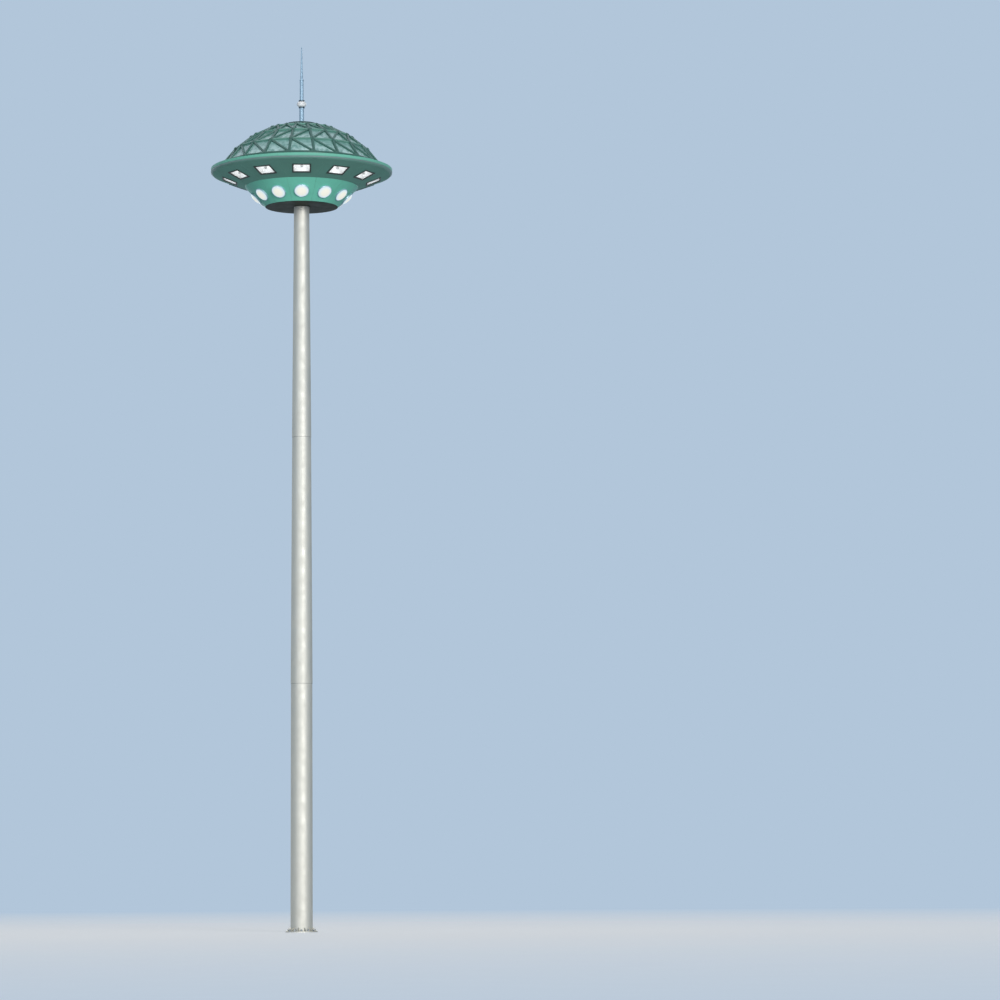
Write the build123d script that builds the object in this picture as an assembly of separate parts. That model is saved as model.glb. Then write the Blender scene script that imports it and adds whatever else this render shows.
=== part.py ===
from build123d import *
import math
import os

# High mast floodlight tower: a slip-jointed steel mast with a saucer head under a latticed dome.
# Millimetres, +Z up. The origin is the centre of the base flange's underside.
# The front is -Y, where the first floodlight of each ring faces. The service door is on +Y.

# Clearances
seat_gap = 0.3
panel_seam = 4.0

# Base flange and its stiffeners
flange_radius = 626.0
flange_thickness = 40.0
cable_hole_radius = 75.0
cable_hole_offset = 210.0
anchor_count = 12
anchor_circle_radius = 535.0
anchor_hole_radius = 24.0
gusset_height = 150.0
gusset_toe = 25.0
gusset_thickness = 16.0
gusset_edge_margin = 22.0

# Mast sections: visible lengths, outer radii, walls, and how far each slips over the one below
lower_length = 9620.0
middle_length = 9700.0
upper_length = 9170.0
base_radius = 432.0
first_joint_radius = 418.0
second_joint_radius = 371.0
neck_radius = 302.5
lower_wall = 10.0
middle_wall = 9.0
upper_wall = 8.0
slip_overlap = 1250.0

# Service door in the lower section
door_bottom_z = 700.0
door_height = 1100.0
door_width = 320.0
door_frame_width = 24.0
door_frame_proud = 16.0
door_frame_depth = 30.0
door_thickness = 6.0
door_gap = 3.0
hinge_radius = 14.0
hinge_length = 90.0
lock_radius = 20.0
lock_thickness = 12.0

# Saucer head
bowl_height = 800.0
soffit_rise = 530.0
rim_height = 180.0
rim_roll = 140.0
deck_rise = 20.0
panel_count = 12
panel_thickness = 6.0
bowl_bottom_radius = 1430.0
crease_radius = 2240.0
rim_radius = 3590.0
deck_width = 415.0
plate_thickness = 8.0
pole_clearance = 6.0

# Head frame
collar_thickness = 20.0
arm_thickness = 12.0
arm_web = 90.0
mast_cap_thickness = 20.0
mast_cap_overhang = 30.0
centre_post_radius = 110.0
centre_post_wall = 8.0

# Windows in the soffit
window_width = 630.0
window_length = 520.0
window_radius = 2840.0
window_frame_width = 50.0
window_frame_proud = 14.0
window_frame_depth = 26.0
window_glass_thickness = 8.0
tray_depth = 170.0
tray_wall = 4.0
tray_taper = 90.0
lamp_holder_radius = 32.0
lamp_holder_length = 40.0
lamp_bulb_radius = 58.0
lamp_bulb_length = 120.0
lamp_sides = 12

# Round floodlights in the bowl
floodlight_radius = 290.0
floodlight_ring = 1790.0
floodlight_proud = 45.0
floodlight_depth = 200.0
floodlight_back_radius = 200.0
bezel_width = 26.0
reflector_dish = 65.0
lens_rise = 70.0
lens_steps = 3
floodlight_sides = 32

# Dome lattice and glazing
rib_count = 20
tier_count = 4
dome_rise = 1710.0
cap_ring_angle = 8.0
rib_width = 92.0
ring_width = 72.0
brace_width = 78.0
lattice_depth = 60.0
pane_thickness = 8.0
pane_seam = 14.0
curb_height = 100.0
curb_width = 90.0

# Dome cap and spire
cap_radius = 600.0
cap_thickness = 12.0
cap_rise = 40.0
spire_flange_radius = 180.0
spire_flange_thickness = 20.0
stub_radius = 92.0
stub_length = 600.0
ball_radius = 190.0
ball_height = 210.0
ball_collar_radius = 118.0
ball_collar_height = 50.0
rod_radius = 74.0
rod_length = 832.0
rod_step_radius = 84.0
rod_step_height = 36.0
tip_foot_radius = 54.0
tip_radius = 16.0
tip_point = 28.0
tip_length = 1340.0

# Sizes that follow from the ones above
front = -90.0
panel_angle = 360.0 / panel_count
rib_angle = 360.0 / rib_count
first_joint_z = flange_thickness + lower_length
second_joint_z = first_joint_z + middle_length
bowl_bottom_z = second_joint_z + upper_length
collar_bottom_z = bowl_bottom_z + plate_thickness + seat_gap
crease_z = bowl_bottom_z + bowl_height
rim_bottom_z = crease_z + soffit_rise
rim_top_z = rim_bottom_z + rim_height
mast_top_z = rim_top_z - mast_cap_thickness
curb_bottom_z = rim_top_z + deck_rise
curb_top_z = curb_bottom_z + curb_height

dome_foot_radius = rim_radius - deck_width
dome_radius = (dome_foot_radius ** 2 + dome_rise ** 2) / (2 * dome_rise)
dome_foot_angle = math.degrees(math.asin(dome_foot_radius / dome_radius))
dome_foot_z = curb_top_z + seat_gap + lattice_depth * math.cos(math.radians(dome_foot_angle))
dome_centre_z = dome_foot_z + dome_rise - dome_radius
lattice_scale = 1 - lattice_depth / dome_radius

cap_ring_z = dome_centre_z + dome_radius * math.cos(math.radians(cap_ring_angle))
cap_seat_z = cap_ring_z + seat_gap
cap_top_z = cap_seat_z + cap_thickness + cap_rise
stub_top_z = cap_top_z + stub_length
ball_bottom_z = stub_top_z + ball_collar_height
ball_top_z = ball_bottom_z + ball_height
rod_bottom_z = ball_top_z + ball_collar_height
rod_top_z = rod_bottom_z + rod_length
mast_tip_z = rod_top_z + tip_length

standing = (Align.CENTER, Align.CENTER, Align.MIN)


def section(outline):
    """A face in the plane of +X and Z from a closed outline of (radius, height) points."""
    return make_face(Polyline(*[(r, 0, z) for r, z in outline], close=True))


def turned(outline):
    """Revolve a closed outline of (radius, height) points about the mast's axis."""
    return revolve(section(outline), Axis.Z)


def around(solid, count, first=0.0):
    """Copies of a solid at even angles about the mast's axis."""
    return [Rot(0, 0, first + 360.0 * i / count) * solid for i in range(count)]


def upright(outline, thickness):
    """A plate in the plane of +X and Z, centred on that plane, from (radius, height) points."""
    return extrude(section(outline), thickness / 2, dir=(0, 1, 0), both=True)


def prism(corners, height):
    """A straight-sided solid standing on z = 0 from its corners."""
    return extrude(make_face(Polyline(*corners, close=True)), height)


def polygon(radius, sides, turn=0.0):
    """Corners of a regular polygon, with a corner at the given angle."""
    angles = [math.radians(turn + 360.0 * i / sides) for i in range(sides)]
    return [(radius * math.cos(a), radius * math.sin(a)) for a in angles]


def solid_from_faces(loops):
    """A closed solid from flat faces, each given as its outer loop and its holes."""
    faces = []
    for outer, holes in loops:
        outline = Wire.make_polygon([Vector(*p) for p in outer], close=True)
        inner = [Wire.make_polygon([Vector(*p) for p in hole], close=True) for hole in holes]
        faces.append(Face(outline, inner))
    return Solid(Shell(faces))


def faceted(outline, sides):
    """A turned shape with flat sides, for small repeated pieces, from (radius, height) points."""
    faces = []
    for i in range(sides):
        a, b = math.radians(360.0 * i / sides), math.radians(360.0 * (i + 1) / sides)
        for (r, z), (s, w) in zip(outline, outline[1:] + outline[:1]):
            loop = [(r * math.cos(a), r * math.sin(a), z), (s * math.cos(a), s * math.sin(a), w)]
            if s:
                loop.append((s * math.cos(b), s * math.sin(b), w))
            if r:
                loop.append((r * math.cos(b), r * math.sin(b), z))
            if len(loop) > 2:
                faces.append((loop, []))
    return solid_from_faces(faces)


# Mast sections
class MastSection:
    """One tapered tube. Its spigot takes the taper of the section that slips over it."""

    def __init__(self, foot, joint, wall, spigot=None):
        self.foot_radius, self.foot_z = foot
        self.joint_radius, self.joint_z = joint
        self.wall = wall
        self.spigot = spigot

    def taper(self):
        """Radius lost per unit of height."""
        return (self.foot_radius - self.joint_radius) / (self.joint_z - self.foot_z)

    def radius(self, z):
        """Outer radius at a height between the foot and the joint."""
        return self.foot_radius - self.taper() * (z - self.foot_z)

    def skin(self, inner, outer, bottom, top):
        """A tube between two offsets from the outer surface, from one height to another."""
        low, high = self.radius(bottom), self.radius(top)
        outline = [(low + inner, bottom), (low + outer, bottom), (high + outer, top), (high + inner, top)]
        return turned(outline)

    def tube(self):
        """The section as a solid, with its spigot where it has one."""
        outside = [(self.foot_radius, self.foot_z), (self.joint_radius, self.joint_z)]
        if self.spigot:
            outside.append(self.spigot)
        inside = [(r - self.wall, z) for r, z in reversed(outside)]
        return turned(outside + inside)


def socket_radius(joint_radius, wall):
    """Outer radius of the section that slips over a spigot."""
    return joint_radius + seat_gap + wall


def spigot_end(joint_radius, joint_z, taper):
    """Top of a spigot that follows the taper of its socket."""
    return joint_radius - taper * slip_overlap, joint_z + slip_overlap


middle_foot_radius = socket_radius(first_joint_radius, middle_wall)
upper_foot_radius = socket_radius(second_joint_radius, upper_wall)
middle_taper = (middle_foot_radius - second_joint_radius) / middle_length
upper_taper = (upper_foot_radius - neck_radius) / upper_length
mast_top_radius = upper_foot_radius - upper_taper * (mast_top_z - second_joint_z)

lower = MastSection((base_radius, flange_thickness), (first_joint_radius, first_joint_z), lower_wall,
                    spigot_end(first_joint_radius, first_joint_z, middle_taper))
middle = MastSection((middle_foot_radius, first_joint_z), (second_joint_radius, second_joint_z), middle_wall,
                     spigot_end(second_joint_radius, second_joint_z, upper_taper))
upper = MastSection((upper_foot_radius, second_joint_z), (mast_top_radius, mast_top_z), upper_wall)


# Base
def base_flange():
    """The foot's round plate, with a circle of anchor holes and the hole that cables come up through."""
    plate = Cylinder(flange_radius, flange_thickness, align=standing)
    cable_hole = Pos(0, cable_hole_offset, 0) * Cylinder(cable_hole_radius, flange_thickness, align=standing)
    anchor_hole = Cylinder(anchor_hole_radius, flange_thickness, align=standing)
    anchor_holes = around(Pos(anchor_circle_radius, 0, 0) * anchor_hole, anchor_count, front)
    return plate - cable_hole - anchor_holes


def base_gussets():
    """Low stiffeners between the anchors, from the flange to the mast's wall."""
    foot_z = flange_thickness
    top_z = foot_z + gusset_height
    toe_radius = flange_radius - gusset_edge_margin
    outline = [
        (lower.radius(foot_z) + seat_gap, foot_z),
        (toe_radius, foot_z),
        (toe_radius, foot_z + gusset_toe),
        (lower.radius(top_z) + seat_gap + gusset_toe, top_z),
        (lower.radius(top_z) + seat_gap, top_z),
    ]
    return around(upright(outline, gusset_thickness), anchor_count, front + 180.0 / anchor_count)


# Service door
door_middle_z = door_bottom_z + door_height / 2


def door_prism(margin):
    """The door's outline grown by a margin, standing through the back wall of the lower section."""
    reach = door_width / 2 + door_frame_depth
    outline = Plane.XZ * SlotOverall(door_height + 2 * margin, door_width + 2 * margin, rotation=90)
    return Pos(0, lower.radius(door_bottom_z) + reach, door_middle_z) * extrude(outline, 2 * reach)


def door_skin(inner, outer):
    """The band of the mast's wall that the door and its frame follow, between two offsets."""
    margin = door_frame_width + door_frame_proud
    return lower.skin(inner, outer, door_bottom_z - margin, door_bottom_z + door_height + margin)


def lower_tube():
    """The lower section with the opening that takes the door's frame."""
    return lower.tube() - door_prism(door_frame_width + seat_gap)


def door_frame():
    """The stiff ring welded into the opening, curved as the wall is."""
    return door_skin(-door_frame_depth, door_frame_proud) & (door_prism(door_frame_width) - door_prism(0))


def service_door():
    """The curved leaf, flush with the frame's face."""
    return door_skin(door_frame_proud - door_thickness, door_frame_proud) & door_prism(-door_gap)


def on_door(solid, side, z, proud):
    """A small piece placed at a height over the door's face, off to one side and proud of the face."""
    face_radius = lower.radius(z) + door_frame_proud
    angle = 90 - math.degrees(math.asin(side / face_radius))
    return Rot(0, 0, angle) * Pos(face_radius + proud, 0, z) * solid


def door_hinges():
    """Two barrels over the gap between the leaf and the frame."""
    barrel = Cylinder(hinge_radius, hinge_length, align=standing)
    spread = (door_height - door_width) / 2
    gap_middle = (door_width - door_gap) / 2
    feet = (door_middle_z - spread, door_middle_z + spread - hinge_length)
    return [on_door(barrel, gap_middle, z, hinge_radius + seat_gap) for z in feet]


def door_lock():
    """The lock's round cap on the leaf, on the side away from the hinges."""
    cap = Rot(0, 90, 0) * Cylinder(lock_radius, lock_thickness, align=standing)
    return on_door(cap, 2 * lock_radius - door_width / 2, door_middle_z, seat_gap)


# Lines of the saucer's outer faces, as pairs of (radius, height) points
bowl_line = ((bowl_bottom_radius, collar_bottom_z), (crease_radius, crease_z))
soffit_line = ((crease_radius, crease_z), (rim_radius, rim_bottom_z))
deck_line = ((rim_radius, rim_top_z), (dome_foot_radius - curb_width, curb_bottom_z - seat_gap))


def slope(start, end):
    """Unit direction from one (radius, height) point to another, and the normal on its outer side."""
    length = math.hypot(end[0] - start[0], end[1] - start[1])
    along = ((end[0] - start[0]) / length, (end[1] - start[1]) / length)
    return along, (along[1], -along[0])


def station(start, end, radius):
    """Plane on the outer face of a sheet: x runs round the ring, y up the slope, z out of the head."""
    along, out = slope(start, end)
    z = start[1] + (radius - start[0]) * along[1] / along[0]
    return Plane(origin=(radius, 0, z), x_dir=(0, 1, 0), z_dir=(out[0], 0, out[1]))


def rolled_edge(depth):
    """The start, middle and foot of the rim's rolled lower edge, a depth inside its outer face."""
    along, out = slope(*soffit_line)
    centre = (rim_radius - rim_roll, rim_bottom_z + rim_roll * (1 - out[0]) / -out[1])
    radius = rim_roll - depth
    half_turn = math.atan2(out[1], out[0]) / 2
    turns = (0.0, half_turn, 2 * half_turn)
    return [(centre[0] + radius * math.cos(a), centre[1] + radius * math.sin(a)) for a in turns]


def inside(line, lift):
    """A sheet's inner face, moved inwards by the seat gap and a lift."""
    along, out = slope(*line)
    depth = panel_thickness + seat_gap + lift
    return [(r - out[0] * depth, z - out[1] * depth) for r, z in line]


def meet(line_a, line_b):
    """Where two (radius, height) lines cross."""
    (x1, y1), (x2, y2) = line_a
    (x3, y3), (x4, y4) = line_b
    base = (x1 - x2) * (y3 - y4) - (y1 - y2) * (x3 - x4)
    a = x1 * y2 - y1 * x2
    b = x3 * y4 - y3 * x4
    return (a * (x3 - x4) - (x1 - x2) * b) / base, (a * (y3 - y4) - (y1 - y2) * b) / base


# Head frame: collar on the mast, arms under the panel seams, the mast's cap and the centre post
def head_collar():
    """The sleeve round the mast's top that carries the arms."""
    return upper.skin(seat_gap, seat_gap + collar_thickness, collar_bottom_z, mast_top_z)


def arm_corners(inset):
    """The arm's corners, from its inner end's foot to the rim and back, moved inwards by a distance."""
    hub = upper.radius(collar_bottom_z) + collar_thickness + 2 * seat_gap + inset
    end = rim_radius - panel_thickness - seat_gap - inset
    floor_z = collar_bottom_z + inset
    bowl, soffit, deck = inside(bowl_line, inset), inside(soffit_line, inset), inside(deck_line, inset)
    floor = ((hub, floor_z), (end, floor_z))
    side = ((end, rim_bottom_z), (end, rim_top_z))
    shelf = deck[1]
    return [(hub, floor_z), meet(floor, bowl), meet(bowl, soffit), meet(soffit, side), meet(side, deck),
            shelf, (hub, shelf[1])]


def arm_outline():
    """The arm's corners, with its tip cut back to a straight edge inside the rim's rolled edge."""
    corners = arm_corners(0.0)
    roll_start, middle, roll_foot = rolled_edge(panel_thickness + seat_gap)
    return corners[:3] + [roll_foot, roll_start] + corners[4:]


def frame_arm():
    """A flat arm with two bays cut out of it, divided by an upright over the crease."""
    hub_foot, heel, crease, tip, tip_top, shelf, hub_top = arm_corners(arm_web)
    post_in, post_out = crease[0] - arm_web / 2, crease[0] + arm_web / 2
    post_front = ((post_in, bowl_bottom_z), (post_in, rim_top_z))
    post_back = ((post_out, bowl_bottom_z), (post_out, rim_top_z))
    inner_bay = [hub_foot, heel, meet((heel, crease), post_front), (post_in, hub_top[1]), hub_top]
    outer_bay = [meet((crease, tip), post_back), tip, tip_top, shelf, (post_out, hub_top[1])]
    blank = upright(arm_outline(), arm_thickness)
    return blank - upright(inner_bay, 2 * arm_thickness) - upright(outer_bay, 2 * arm_thickness)


def mast_cap():
    """The plate that closes the mast's top."""
    plate = Cylinder(mast_top_radius + mast_cap_overhang, mast_cap_thickness, align=standing)
    return Pos(0, 0, mast_top_z) * plate


def centre_post():
    """The tube from the mast's cap to the dome's cap, which carries the spire."""
    outer = centre_post_radius
    inner = outer - centre_post_wall
    bottom_z, top_z = mast_top_z + mast_cap_thickness, cap_seat_z - seat_gap
    return turned([(inner, bottom_z), (outer, bottom_z), (outer, top_z), (inner, top_z)])


# Cladding of the saucer
def panel(section, inner_radius):
    """One segment of a panelled ring, short of its neighbours by a seam, centred on +X."""
    arc = panel_angle - math.degrees(panel_seam / inner_radius)
    return Rot(0, 0, -arc / 2) * revolve(section, Axis.Z, arc)


def sheet_panel(start, end, trim):
    """A panel rolled from flat sheet, whose outer face runs between two points, trimmed at both ends."""
    along, out = slope(start, end)
    a = (start[0] + along[0] * trim, start[1] + along[1] * trim)
    b = (end[0] - along[0] * trim, end[1] - along[1] * trim)
    back = (-out[0] * panel_thickness, -out[1] * panel_thickness)
    outline = [a, b, (b[0] + back[0], b[1] + back[1]), (a[0] + back[0], a[1] + back[1])]
    return panel(section(outline), min(r for r, z in outline))


def bowl_bottom_plate():
    """The flat ring that closes the bowl round the mast."""
    hole = neck_radius + pole_clearance
    top_z = bowl_bottom_z + plate_thickness
    return turned([(hole, bowl_bottom_z), (bowl_bottom_radius, bowl_bottom_z), (bowl_bottom_radius, top_z),
                   (hole, top_z)])


def bowl_panel():
    """One panel of the steep bowl, with the hole that takes a round floodlight."""
    hole = prism(polygon(floodlight_radius + seat_gap, floodlight_sides), 2 * floodlight_depth)
    cut = station(*bowl_line, floodlight_ring) * Pos(0, 0, -floodlight_depth) * hole
    return sheet_panel(*bowl_line, panel_seam / 2) - cut


def soffit_panel():
    """One panel of the soffit, with the hole that takes the window's frame."""
    margin = 2 * (window_frame_width + seat_gap)
    hole = Box(window_width + margin, window_length + margin, 2 * tray_depth)
    blank = sheet_panel(soffit_line[0], rolled_edge(0.0)[2], panel_seam / 2)
    return blank - station(*soffit_line, window_radius) * hole


def rim_panel():
    """One length of the band round the rim: upright under the deck, and rolled in to meet the soffit."""
    inner = rim_radius - panel_thickness
    top_z = rim_top_z - panel_thickness - seat_gap
    outer_start, outer_middle, outer_foot = [(r, 0, z) for r, z in rolled_edge(0.0)]
    inner_start, inner_middle, inner_foot = [(r, 0, z) for r, z in rolled_edge(panel_thickness)]
    edges = [
        Line((rim_radius, 0, top_z), outer_start),
        ThreePointArc(outer_start, outer_middle, outer_foot),
        Line(outer_foot, inner_foot),
        ThreePointArc(inner_foot, inner_middle, inner_start),
        Line(inner_start, (inner, 0, top_z)),
        Line((inner, 0, top_z), (rim_radius, 0, top_z)),
    ]
    return panel(make_face(edges), inner_foot[0])


def deck_panel():
    """One panel of the deck between the rim and the dome's curb."""
    return sheet_panel(*deck_line, 0.0)


# Floodlights behind the soffit's windows, each built about its window's middle
def window_frame():
    """The window's frame, standing out of the soffit and reaching in through it."""
    depth = window_frame_depth + window_frame_proud
    outer = Box(window_width + 2 * window_frame_width, window_length + 2 * window_frame_width, depth)
    frame = outer - Box(window_width, window_length, depth)
    return Pos(0, 0, (window_frame_proud - window_frame_depth) / 2) * frame


def window_glass():
    """The pane in the frame, just behind the soffit's face."""
    width, length = window_width - 2 * seat_gap, window_length - 2 * seat_gap
    return Pos(0, 0, -window_glass_thickness / 2) * Box(width, length, window_glass_thickness)


def window_tray():
    """A tapered reflector tray, its mouth on the back of the frame."""
    slope_angle = math.degrees(math.atan(tray_taper / tray_depth))
    mouth = Rectangle(window_width + 2 * tray_wall, window_length + 2 * tray_wall)
    shell = extrude(mouth, tray_depth, taper=slope_angle)
    hollow = extrude(Rectangle(window_width, window_length), tray_depth - tray_wall, taper=slope_angle)
    return Pos(0, 0, -window_frame_depth) * Rot(180, 0, 0) * (shell - hollow)


def window_lamp():
    """The lamp on the middle of the tray's back: a holder with a fat, egg-shaped bulb."""
    back_z = tray_wall + seat_gap - window_frame_depth - tray_depth
    half = lamp_bulb_length / 2
    neck = math.acos(lamp_holder_radius / lamp_bulb_radius)
    turns = [-neck, -neck / 2, 0.0, math.pi / 6, math.pi / 3, math.pi / 2]
    start = half * math.sin(neck) + lamp_holder_length
    bulb = [(lamp_bulb_radius * math.cos(a), start + half * math.sin(a)) for a in turns[:-1]]
    outline = [(0, 0), (lamp_holder_radius, 0)] + bulb + [(0, start + half)]
    return Pos(0, 0, back_z) * faceted(outline, lamp_sides)


def in_soffit(solid):
    """Copies of a window's piece, one for each soffit panel."""
    return around(station(*soffit_line, window_radius) * solid, panel_count, front)


# Round floodlights in the bowl, each built about the middle of its mouth
def floodlight_housing():
    """The drum with its bezel, and the shallow dish behind the lens."""
    lip = floodlight_radius - bezel_width
    outline = [(0, -floodlight_depth), (floodlight_back_radius, -floodlight_depth),
               (floodlight_radius, -reflector_dish), (floodlight_radius, floodlight_proud),
               (lip, floodlight_proud), (lip, 0), (0, -reflector_dish)]
    return faceted(outline, floodlight_sides)


def floodlight_lens():
    """The bulging lens: a disc in the bezel under a cap of a sphere."""
    edge = floodlight_radius - bezel_width - seat_gap
    sphere = (edge ** 2 + lens_rise ** 2) / (2 * lens_rise)
    steps = [math.asin(edge / sphere) * i / lens_steps for i in range(lens_steps, -1, -1)]
    crown_z = floodlight_proud + lens_rise
    crown = [(sphere * math.sin(a), crown_z - sphere * (1 - math.cos(a))) for a in steps]
    return faceted([(0, seat_gap), (edge, seat_gap)] + crown, floodlight_sides)


def in_bowl(solid):
    """Copies of a round floodlight's piece, one for each bowl panel."""
    return around(station(*bowl_line, floodlight_ring) * solid, panel_count, front)


# Dome lattice: flat four-sided bays between ribs and rings, each with a brace
def dome_point(tier, rib):
    """Corner of the lattice on the dome's outer side: tier 0 is the foot ring."""
    angle = math.radians(dome_foot_angle + (cap_ring_angle - dome_foot_angle) * tier / tier_count)
    turn = math.radians(front + rib_angle * (rib + 0.5))
    reach = dome_radius * math.sin(angle)
    z = dome_centre_z + dome_radius * math.cos(angle)
    return Vector(reach * math.cos(turn), reach * math.sin(turn), z)


def towards_centre(point, scale):
    """A point of the lattice moved towards the dome's centre."""
    centre = Vector(0, 0, dome_centre_z)
    return centre + (point - centre) * scale


def inset_loop(corners, margins):
    """A flat convex loop moved inwards, each side by its own margin."""
    count = len(corners)
    normal = (corners[1] - corners[0]).cross(corners[2] - corners[1]).normalized()
    sides = []
    for i in range(count):
        along = (corners[(i + 1) % count] - corners[i]).normalized()
        sides.append((corners[i] + normal.cross(along) * margins[i], along))
    loop = []
    for i in range(count):
        (p, u), (q, v) = sides[i - 1], sides[i]
        reach = (q - p).cross(v).dot(normal) / u.cross(v).dot(normal)
        loop.append(p + u * reach)
    return loop


def slab_sides(outer, inner):
    """The side faces between a loop and its copy on the inner side."""
    count = len(outer)
    return [([outer[i], outer[(i + 1) % count], inner[(i + 1) % count], inner[i]], []) for i in range(count)]


def bay_corners(tier, rib):
    """A bay's corners, counter-clockwise from outside, starting at its lower left."""
    foot = [dome_point(tier, rib), dome_point(tier, rib + 1)]
    return foot + [dome_point(tier + 1, rib + 1), dome_point(tier + 1, rib)]


def bay_holes(tier, rib):
    """The bay's two triangular openings. The brace changes direction from tier to tier."""
    a, b, c, d = bay_corners(tier, rib)
    ring, side, brace = ring_width / 2, rib_width / 2, brace_width / 2
    if tier % 2:
        return [inset_loop([a, b, c], [ring, side, brace]), inset_loop([a, c, d], [brace, ring, side])]
    return [inset_loop([a, b, d], [ring, brace, side]), inset_loop([b, c, d], [side, ring, brace])]


def dome_lattice():
    """The whole lattice as one solid, from the faces of its bars, which are fused where they cross."""
    def inner(loop):
        return [towards_centre(p, lattice_scale) for p in loop]

    faces = []
    for rib in range(rib_count):
        for tier in range(tier_count):
            corners, holes = bay_corners(tier, rib), bay_holes(tier, rib)
            faces.append((corners, holes))
            faces.append((inner(corners), [inner(hole) for hole in holes]))
            for hole in holes:
                faces += slab_sides(hole, inner(hole))
        for tier in (0, tier_count):
            edge = [dome_point(tier, rib), dome_point(tier, rib + 1)]
            faces.append((edge + inner(edge)[::-1], []))
    return solid_from_faces(faces)


def pane(tier, rib):
    """One pane of glazing, seated on the inner side of its bay."""
    outer_scale = lattice_scale - seat_gap / dome_radius
    inner_scale = 1 - pane_thickness / (dome_radius * outer_scale)
    outer = inset_loop([towards_centre(p, outer_scale) for p in bay_corners(tier, rib)], [pane_seam / 2] * 4)
    inner = [towards_centre(p, inner_scale) for p in outer]
    return solid_from_faces([(outer, []), (inner, [])] + slab_sides(outer, inner))


def glazing_tier(tier):
    """All the panes of one tier."""
    return [pane(tier, rib) for rib in range(rib_count)]


def dome_curb():
    """The polygonal ring that the lattice stands on."""
    turn = front + rib_angle / 2
    height = curb_height - seat_gap
    outer = prism(polygon(dome_foot_radius, rib_count, turn), height)
    inner = prism(polygon(dome_foot_radius - curb_width, rib_count, turn), height)
    return Pos(0, 0, curb_bottom_z) * (outer - inner)


# Dome cap and spire
def dome_cap():
    """A shallow pressed cone on the lattice's top ring, with a flat crown for the spire's flange."""
    return turned([(0, cap_seat_z), (cap_radius, cap_seat_z), (cap_radius, cap_seat_z + cap_thickness),
                   (spire_flange_radius + cap_thickness, cap_top_z), (0, cap_top_z)])


def spire_stub():
    """The flange on the cap and the wide tube up to the ball."""
    flange_top_z = cap_top_z + spire_flange_thickness
    return turned([(0, cap_top_z), (spire_flange_radius, cap_top_z), (spire_flange_radius, flange_top_z),
                   (stub_radius, flange_top_z), (stub_radius, stub_top_z), (0, stub_top_z)])


def spire_collars():
    """The rings under and over the ball."""
    collar = Cylinder(ball_collar_radius, ball_collar_height, align=standing)
    return [Pos(0, 0, z) * collar for z in (stub_top_z, ball_top_z)]


def spire_ball():
    """A flattened ball, cut flat where its collars meet it."""
    half_height = ball_height / 2
    polar_radius = half_height / math.sqrt(1 - (ball_collar_radius / ball_radius) ** 2)
    half = Ellipse(ball_radius, polar_radius) & Pos(ball_radius / 2, 0) * Rectangle(ball_radius, ball_height)
    return Pos(0, 0, ball_bottom_z + half_height) * revolve(Plane.XZ * half, Axis.Z)


def spire_rod():
    """The tube above the ball and the step at its top."""
    step_z = rod_top_z - rod_step_height
    return turned([(0, rod_bottom_z), (rod_radius, rod_bottom_z), (rod_radius, step_z),
                   (rod_step_radius, step_z), (rod_step_radius, rod_top_z), (0, rod_top_z)])


def spire_tip():
    """The tapered top of the spire, which ends in a short point."""
    foot = (tip_foot_radius, rod_top_z)
    shoulder = (tip_radius, mast_tip_z - tip_point)
    return turned([(0, rod_top_z), foot, shoulder, (0, mast_tip_z)])


arm_first = front + panel_angle / 2
nodes = {
    "base_flange": base_flange(),
    "base_gussets": base_gussets(),
    "mast_lower_section": lower_tube(),
    "mast_middle_section": middle.tube(),
    "mast_upper_section": upper.tube(),
    "door_frame": door_frame(),
    "service_door": service_door(),
    "door_hinges": door_hinges(),
    "door_lock": door_lock(),
    "head_collar": head_collar(),
    "head_frame_arms": around(frame_arm(), panel_count, arm_first),
    "mast_cap": mast_cap(),
    "centre_post": centre_post(),
    "bowl_bottom_plate": bowl_bottom_plate(),
    "bowl_panels": around(bowl_panel(), panel_count, front),
    "bowl_lamp_housings": in_bowl(floodlight_housing()),
    "bowl_lamp_lenses": in_bowl(floodlight_lens()),
    "soffit_panels": around(soffit_panel(), panel_count, front),
    "soffit_window_frames": in_soffit(window_frame()),
    "soffit_window_glass": in_soffit(window_glass()),
    "soffit_reflector_trays": in_soffit(window_tray()),
    "soffit_lamps": in_soffit(window_lamp()),
    "rim_panels": around(rim_panel(), panel_count, front),
    "deck_panels": around(deck_panel(), panel_count, front),
    "dome_curb": dome_curb(),
    "dome_lattice": dome_lattice(),
    "dome_cap": dome_cap(),
    "spire_stub": spire_stub(),
    "spire_collars": spire_collars(),
    "spire_ball": spire_ball(),
    "spire_rod": spire_rod(),
    "spire_tip": spire_tip(),
}
for tier in range(tier_count):
    nodes[f"dome_glazing_tier_{tier + 1}"] = glazing_tier(tier)

os.makedirs("parts", exist_ok=True)
for name, shape in nodes.items():
    whole = Compound(children=shape) if isinstance(shape, list) else shape
    export_step(whole, f"parts/{name}.step")
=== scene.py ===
import logging
import math
from dataclasses import asdict, dataclass
from enum import Enum
from typing import Any

import bmesh
import bpy
from mathutils import Matrix, Vector


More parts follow.
